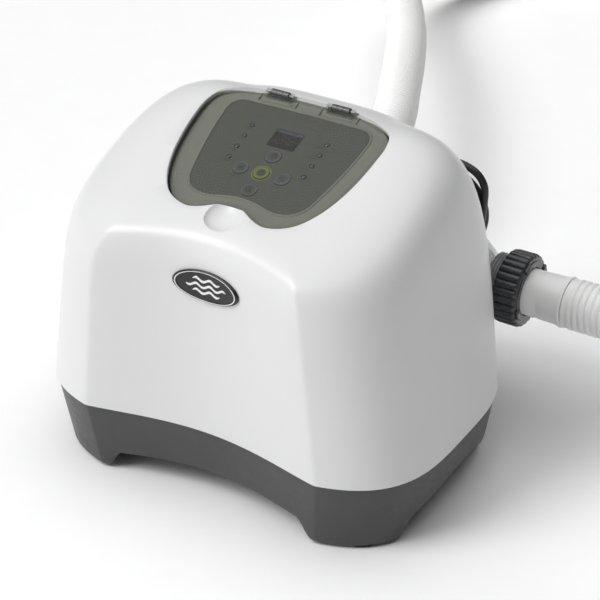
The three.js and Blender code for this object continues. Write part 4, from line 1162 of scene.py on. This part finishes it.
# ---------- lid ----------
def make_lid():
    under = LID_TOP - LID_THICK
    rings = deck_rings(LID_RADIUS, (-3.0, under - 0.5), (-3.0, 0.9), (-2.7, 0.6), (-0.7, 0.6), (-0.4, 0.9),
                       (-0.4, 5.2), (-0.55, 5.9), (-0.95, 6.45), (-1.5, 6.8), (-2.3, 6.97), (-6, 7.05),
                       (-20, 7.3))
    inside = deck_rings(LID_RADIUS, (-3.6, under), (-20, under + 0.15))
    sides = DECK_SIDES
    points = [p for ring in rings + inside for p in ring]
    faces = ring_faces(len(rings), sides)
    first = len(rings) * sides
    faces += [(i, first + i, first + (i + 1) % sides, (i + 1) % sides) for i in range(sides)]
    faces += [tuple(first + i for i in f[::-1]) for f in ring_faces(2, sides)]
    add_fan(points, faces, first - sides, sides, (0, 0, 7.45), False)
    add_fan(points, faces, first + sides, sides, (0, 0, under + 0.2), True)
    lid = deck_piece("clear_lid", (points, faces))
    rooms = [deck_piece("room", block(17.8, 14, 20, s * KNUCKLE_X, HINGE_V + 1, HINGE_W + 1, 0.3))
             for s in (-1, 1)]
    boolean(lid, rooms)
    ears = []
    for side in (-1, 1):
        for end in (-1, 1):
            x = side * KNUCKLE_X + end * 11
            ear = moved(rod(2.9, 3.6, 40, 0.25), translated(x - 1.8, HINGE_V, HINGE_W) @ ALONG_X)
            arm = block(3.6, 5.8, 3, x, HINGE_V - 2.9, HINGE_W + 1.2, 0.25)
            ears.append(deck_piece("ear", merged(ear, arm)))
    joined = join_pieces("smoked_lid", [lid, *ears])
    settle(joined, None, "smoked_clear", "lid", ["lid"], sharp=30)


make_lid()


# ---------- cell and ports ----------
def make_cell():
    length = OUTLET_END - CELL_LEFT
    reach = INLET_END - CELL_Y
    start, tee = translated(CELL_LEFT, CELL_Y, CELL_Z), translated(INLET_X, CELL_Y, CELL_Z) @ ALONG_Y
    main = rod_piece("cell_body", CELL_R, length, 72, start @ ALONG_X, 0.5)
    inlet = rod_piece("part", CELL_R, reach, 72, tee, 0.5)
    branch = rod_piece("part", BRANCH_R, BRANCH_LENGTH, 72, BRANCH_LEAN, 0.4)
    boolean(main, [inlet, branch], "UNION")
    bores = [rod_piece("bore", CELL_BORE, length + 20, 64, translated(-10, 0, 0) @ start @ ALONG_X),
             rod_piece("bore", CELL_BORE, reach + 10, 64, tee),
             rod_piece("bore", 15, BRANCH_LENGTH, 64, BRANCH_LEAN @ translated(0, 0, 14))]
    boolean(main, bores)
    settle(main, None, "clear_cell", replaces=["cell_housing"], sharp=35)
    cap_profile = [(0.01, -4), (14.7, -4), (14.7, 0.3), (19.9, 0.3), (20.5, 0.9), (20.5, 4.2), (19.8, 5),
                   (8, 5), (7, 5.4), (6.8, 7.5), (6.2, 8), (0.01, 8)]
    grips = [moved(block(1.6, 2.2, 4, 20.1, 0, 2.7, 0.4), Matrix.Rotation(2 * math.pi * k / 24, 4, "Z"))
             for k in range(24)]
    cap = new_object("sensor_plug", *moved(merged(revolve(cap_profile, 64), *grips), BRANCH_LEAN @ translated(
        0, 0, BRANCH_LENGTH)))
    settle(cap, None, "collar_grey", replaces=["sensor_cap"], sharp=40)
    end_profile = [(0.01, 0), (23.6, 0), (25, 1.2), (25, 12.4), (24.4, 13), (21.3, 13), (21.3, 4), (0.01, 4)]
    end_grips = [moved(block(1.8, 2.6, 10, 24.6, 0, 6.6, 0.5), Matrix.Rotation(2 * math.pi * k / 20, 4, "Z"))
                 for k in range(20)]
    outlet = block(10, 16, 8, 0, 0, -3, 0.8)
    where = translated(CELL_LEFT - 4.3, CELL_Y, CELL_Z) @ ALONG_X
    end = new_object("electrode_end", *moved(merged(revolve(end_profile, 64), *end_grips, outlet), where))
    settle(end, None, "collar_grey", replaces=["electrode_cap"], sharp=40)


def make_collars():
    """Port collars with a few turns of thread standing proud, the last turns under the nut."""
    inner = CELL_R + 0.3
    profile = [(inner, 0), (CELL_R + 2.4, 0), (CELL_R + 3, 0.5)]
    for k in range(6):
        z = 1.4 + 3.1 * k
        profile += [(25.4, z), (26.9, z + 0.7), (27.3, z + 1.2), (26.9, z + 1.7), (25.4, z + 2.4)]
    profile += [(25.4, COLLAR_LENGTH - 0.8), (24.8, COLLAR_LENGTH), (inner, COLLAR_LENGTH)]
    outlet = new_object("outlet_thread", *moved(revolve(profile, 96), translated(
        OUTLET_END - COLLAR_LENGTH, CELL_Y, CELL_Z) @ ALONG_X))
    boolean(outlet, [rod_piece("room", BRANCH_R + 0.3, BRANCH_LENGTH, 64, BRANCH_LEAN)])
    inlet = new_object("inlet_thread", *moved(revolve(profile, 96), translated(
        INLET_X, INLET_END - COLLAR_LENGTH, CELL_Z) @ ALONG_Y))
    settle(outlet, None, "collar_grey", replaces=["outlet_collar"], sharp=50)
    settle(inlet, None, "collar_grey", replaces=["inlet_collar"], sharp=50)


make_cell()
make_collars()


# ---------- floor and light ----------
def make_stage():
    corners = [(x * FLOOR_HALF, y * FLOOR_HALF, 0) for x, y in ((-1, -1), (1, -1), (1, 1), (-1, 1))]
    floor = new_object("floor", corners, [(0, 1, 2, 3)])
    floor.data.materials.append(plastic("floor_white", (0.95, 0.95, 0.95), 0.85, mottle=0.01, grain=300))


def lamp(name, kind, at, towards, energy, **settings):
    data = bpy.data.lights.new(name, kind)
    data.energy = energy
    for key, value in settings.items():
        setattr(data, key, value)
    piece = bpy.data.objects.new(name, data)
    piece.location = at
    piece.rotation_euler = (Vector(towards) - Vector(at)).to_track_quat("-Z", "Y").to_euler()
    add_to_scene(piece)


def make_light():
    world = bpy.data.worlds.new("studio")
    bpy.context.scene.world = world
    world.use_nodes = True
    world.node_tree.nodes["Background"].inputs[0].default_value = (1, 1, 1, 1)
    world.node_tree.nodes["Background"].inputs[1].default_value = 0.08
    lamp("key", "SUN", (-1.25, -1.55, 2.25), (0, 0, 0.15), 1.55, angle=0.5)
    lamp("overhead", "SUN", (-0.3, 0.3, 3.0), (0.05, 0.1, 0), 1.75, angle=1.4)
    lamp("front", "AREA", (-1.5, -2.4, 0.8), (0, 0, 0.15), 16, size=1.6)
    bpy.context.scene.view_settings.view_transform = "Standard"


make_stage()
make_light()
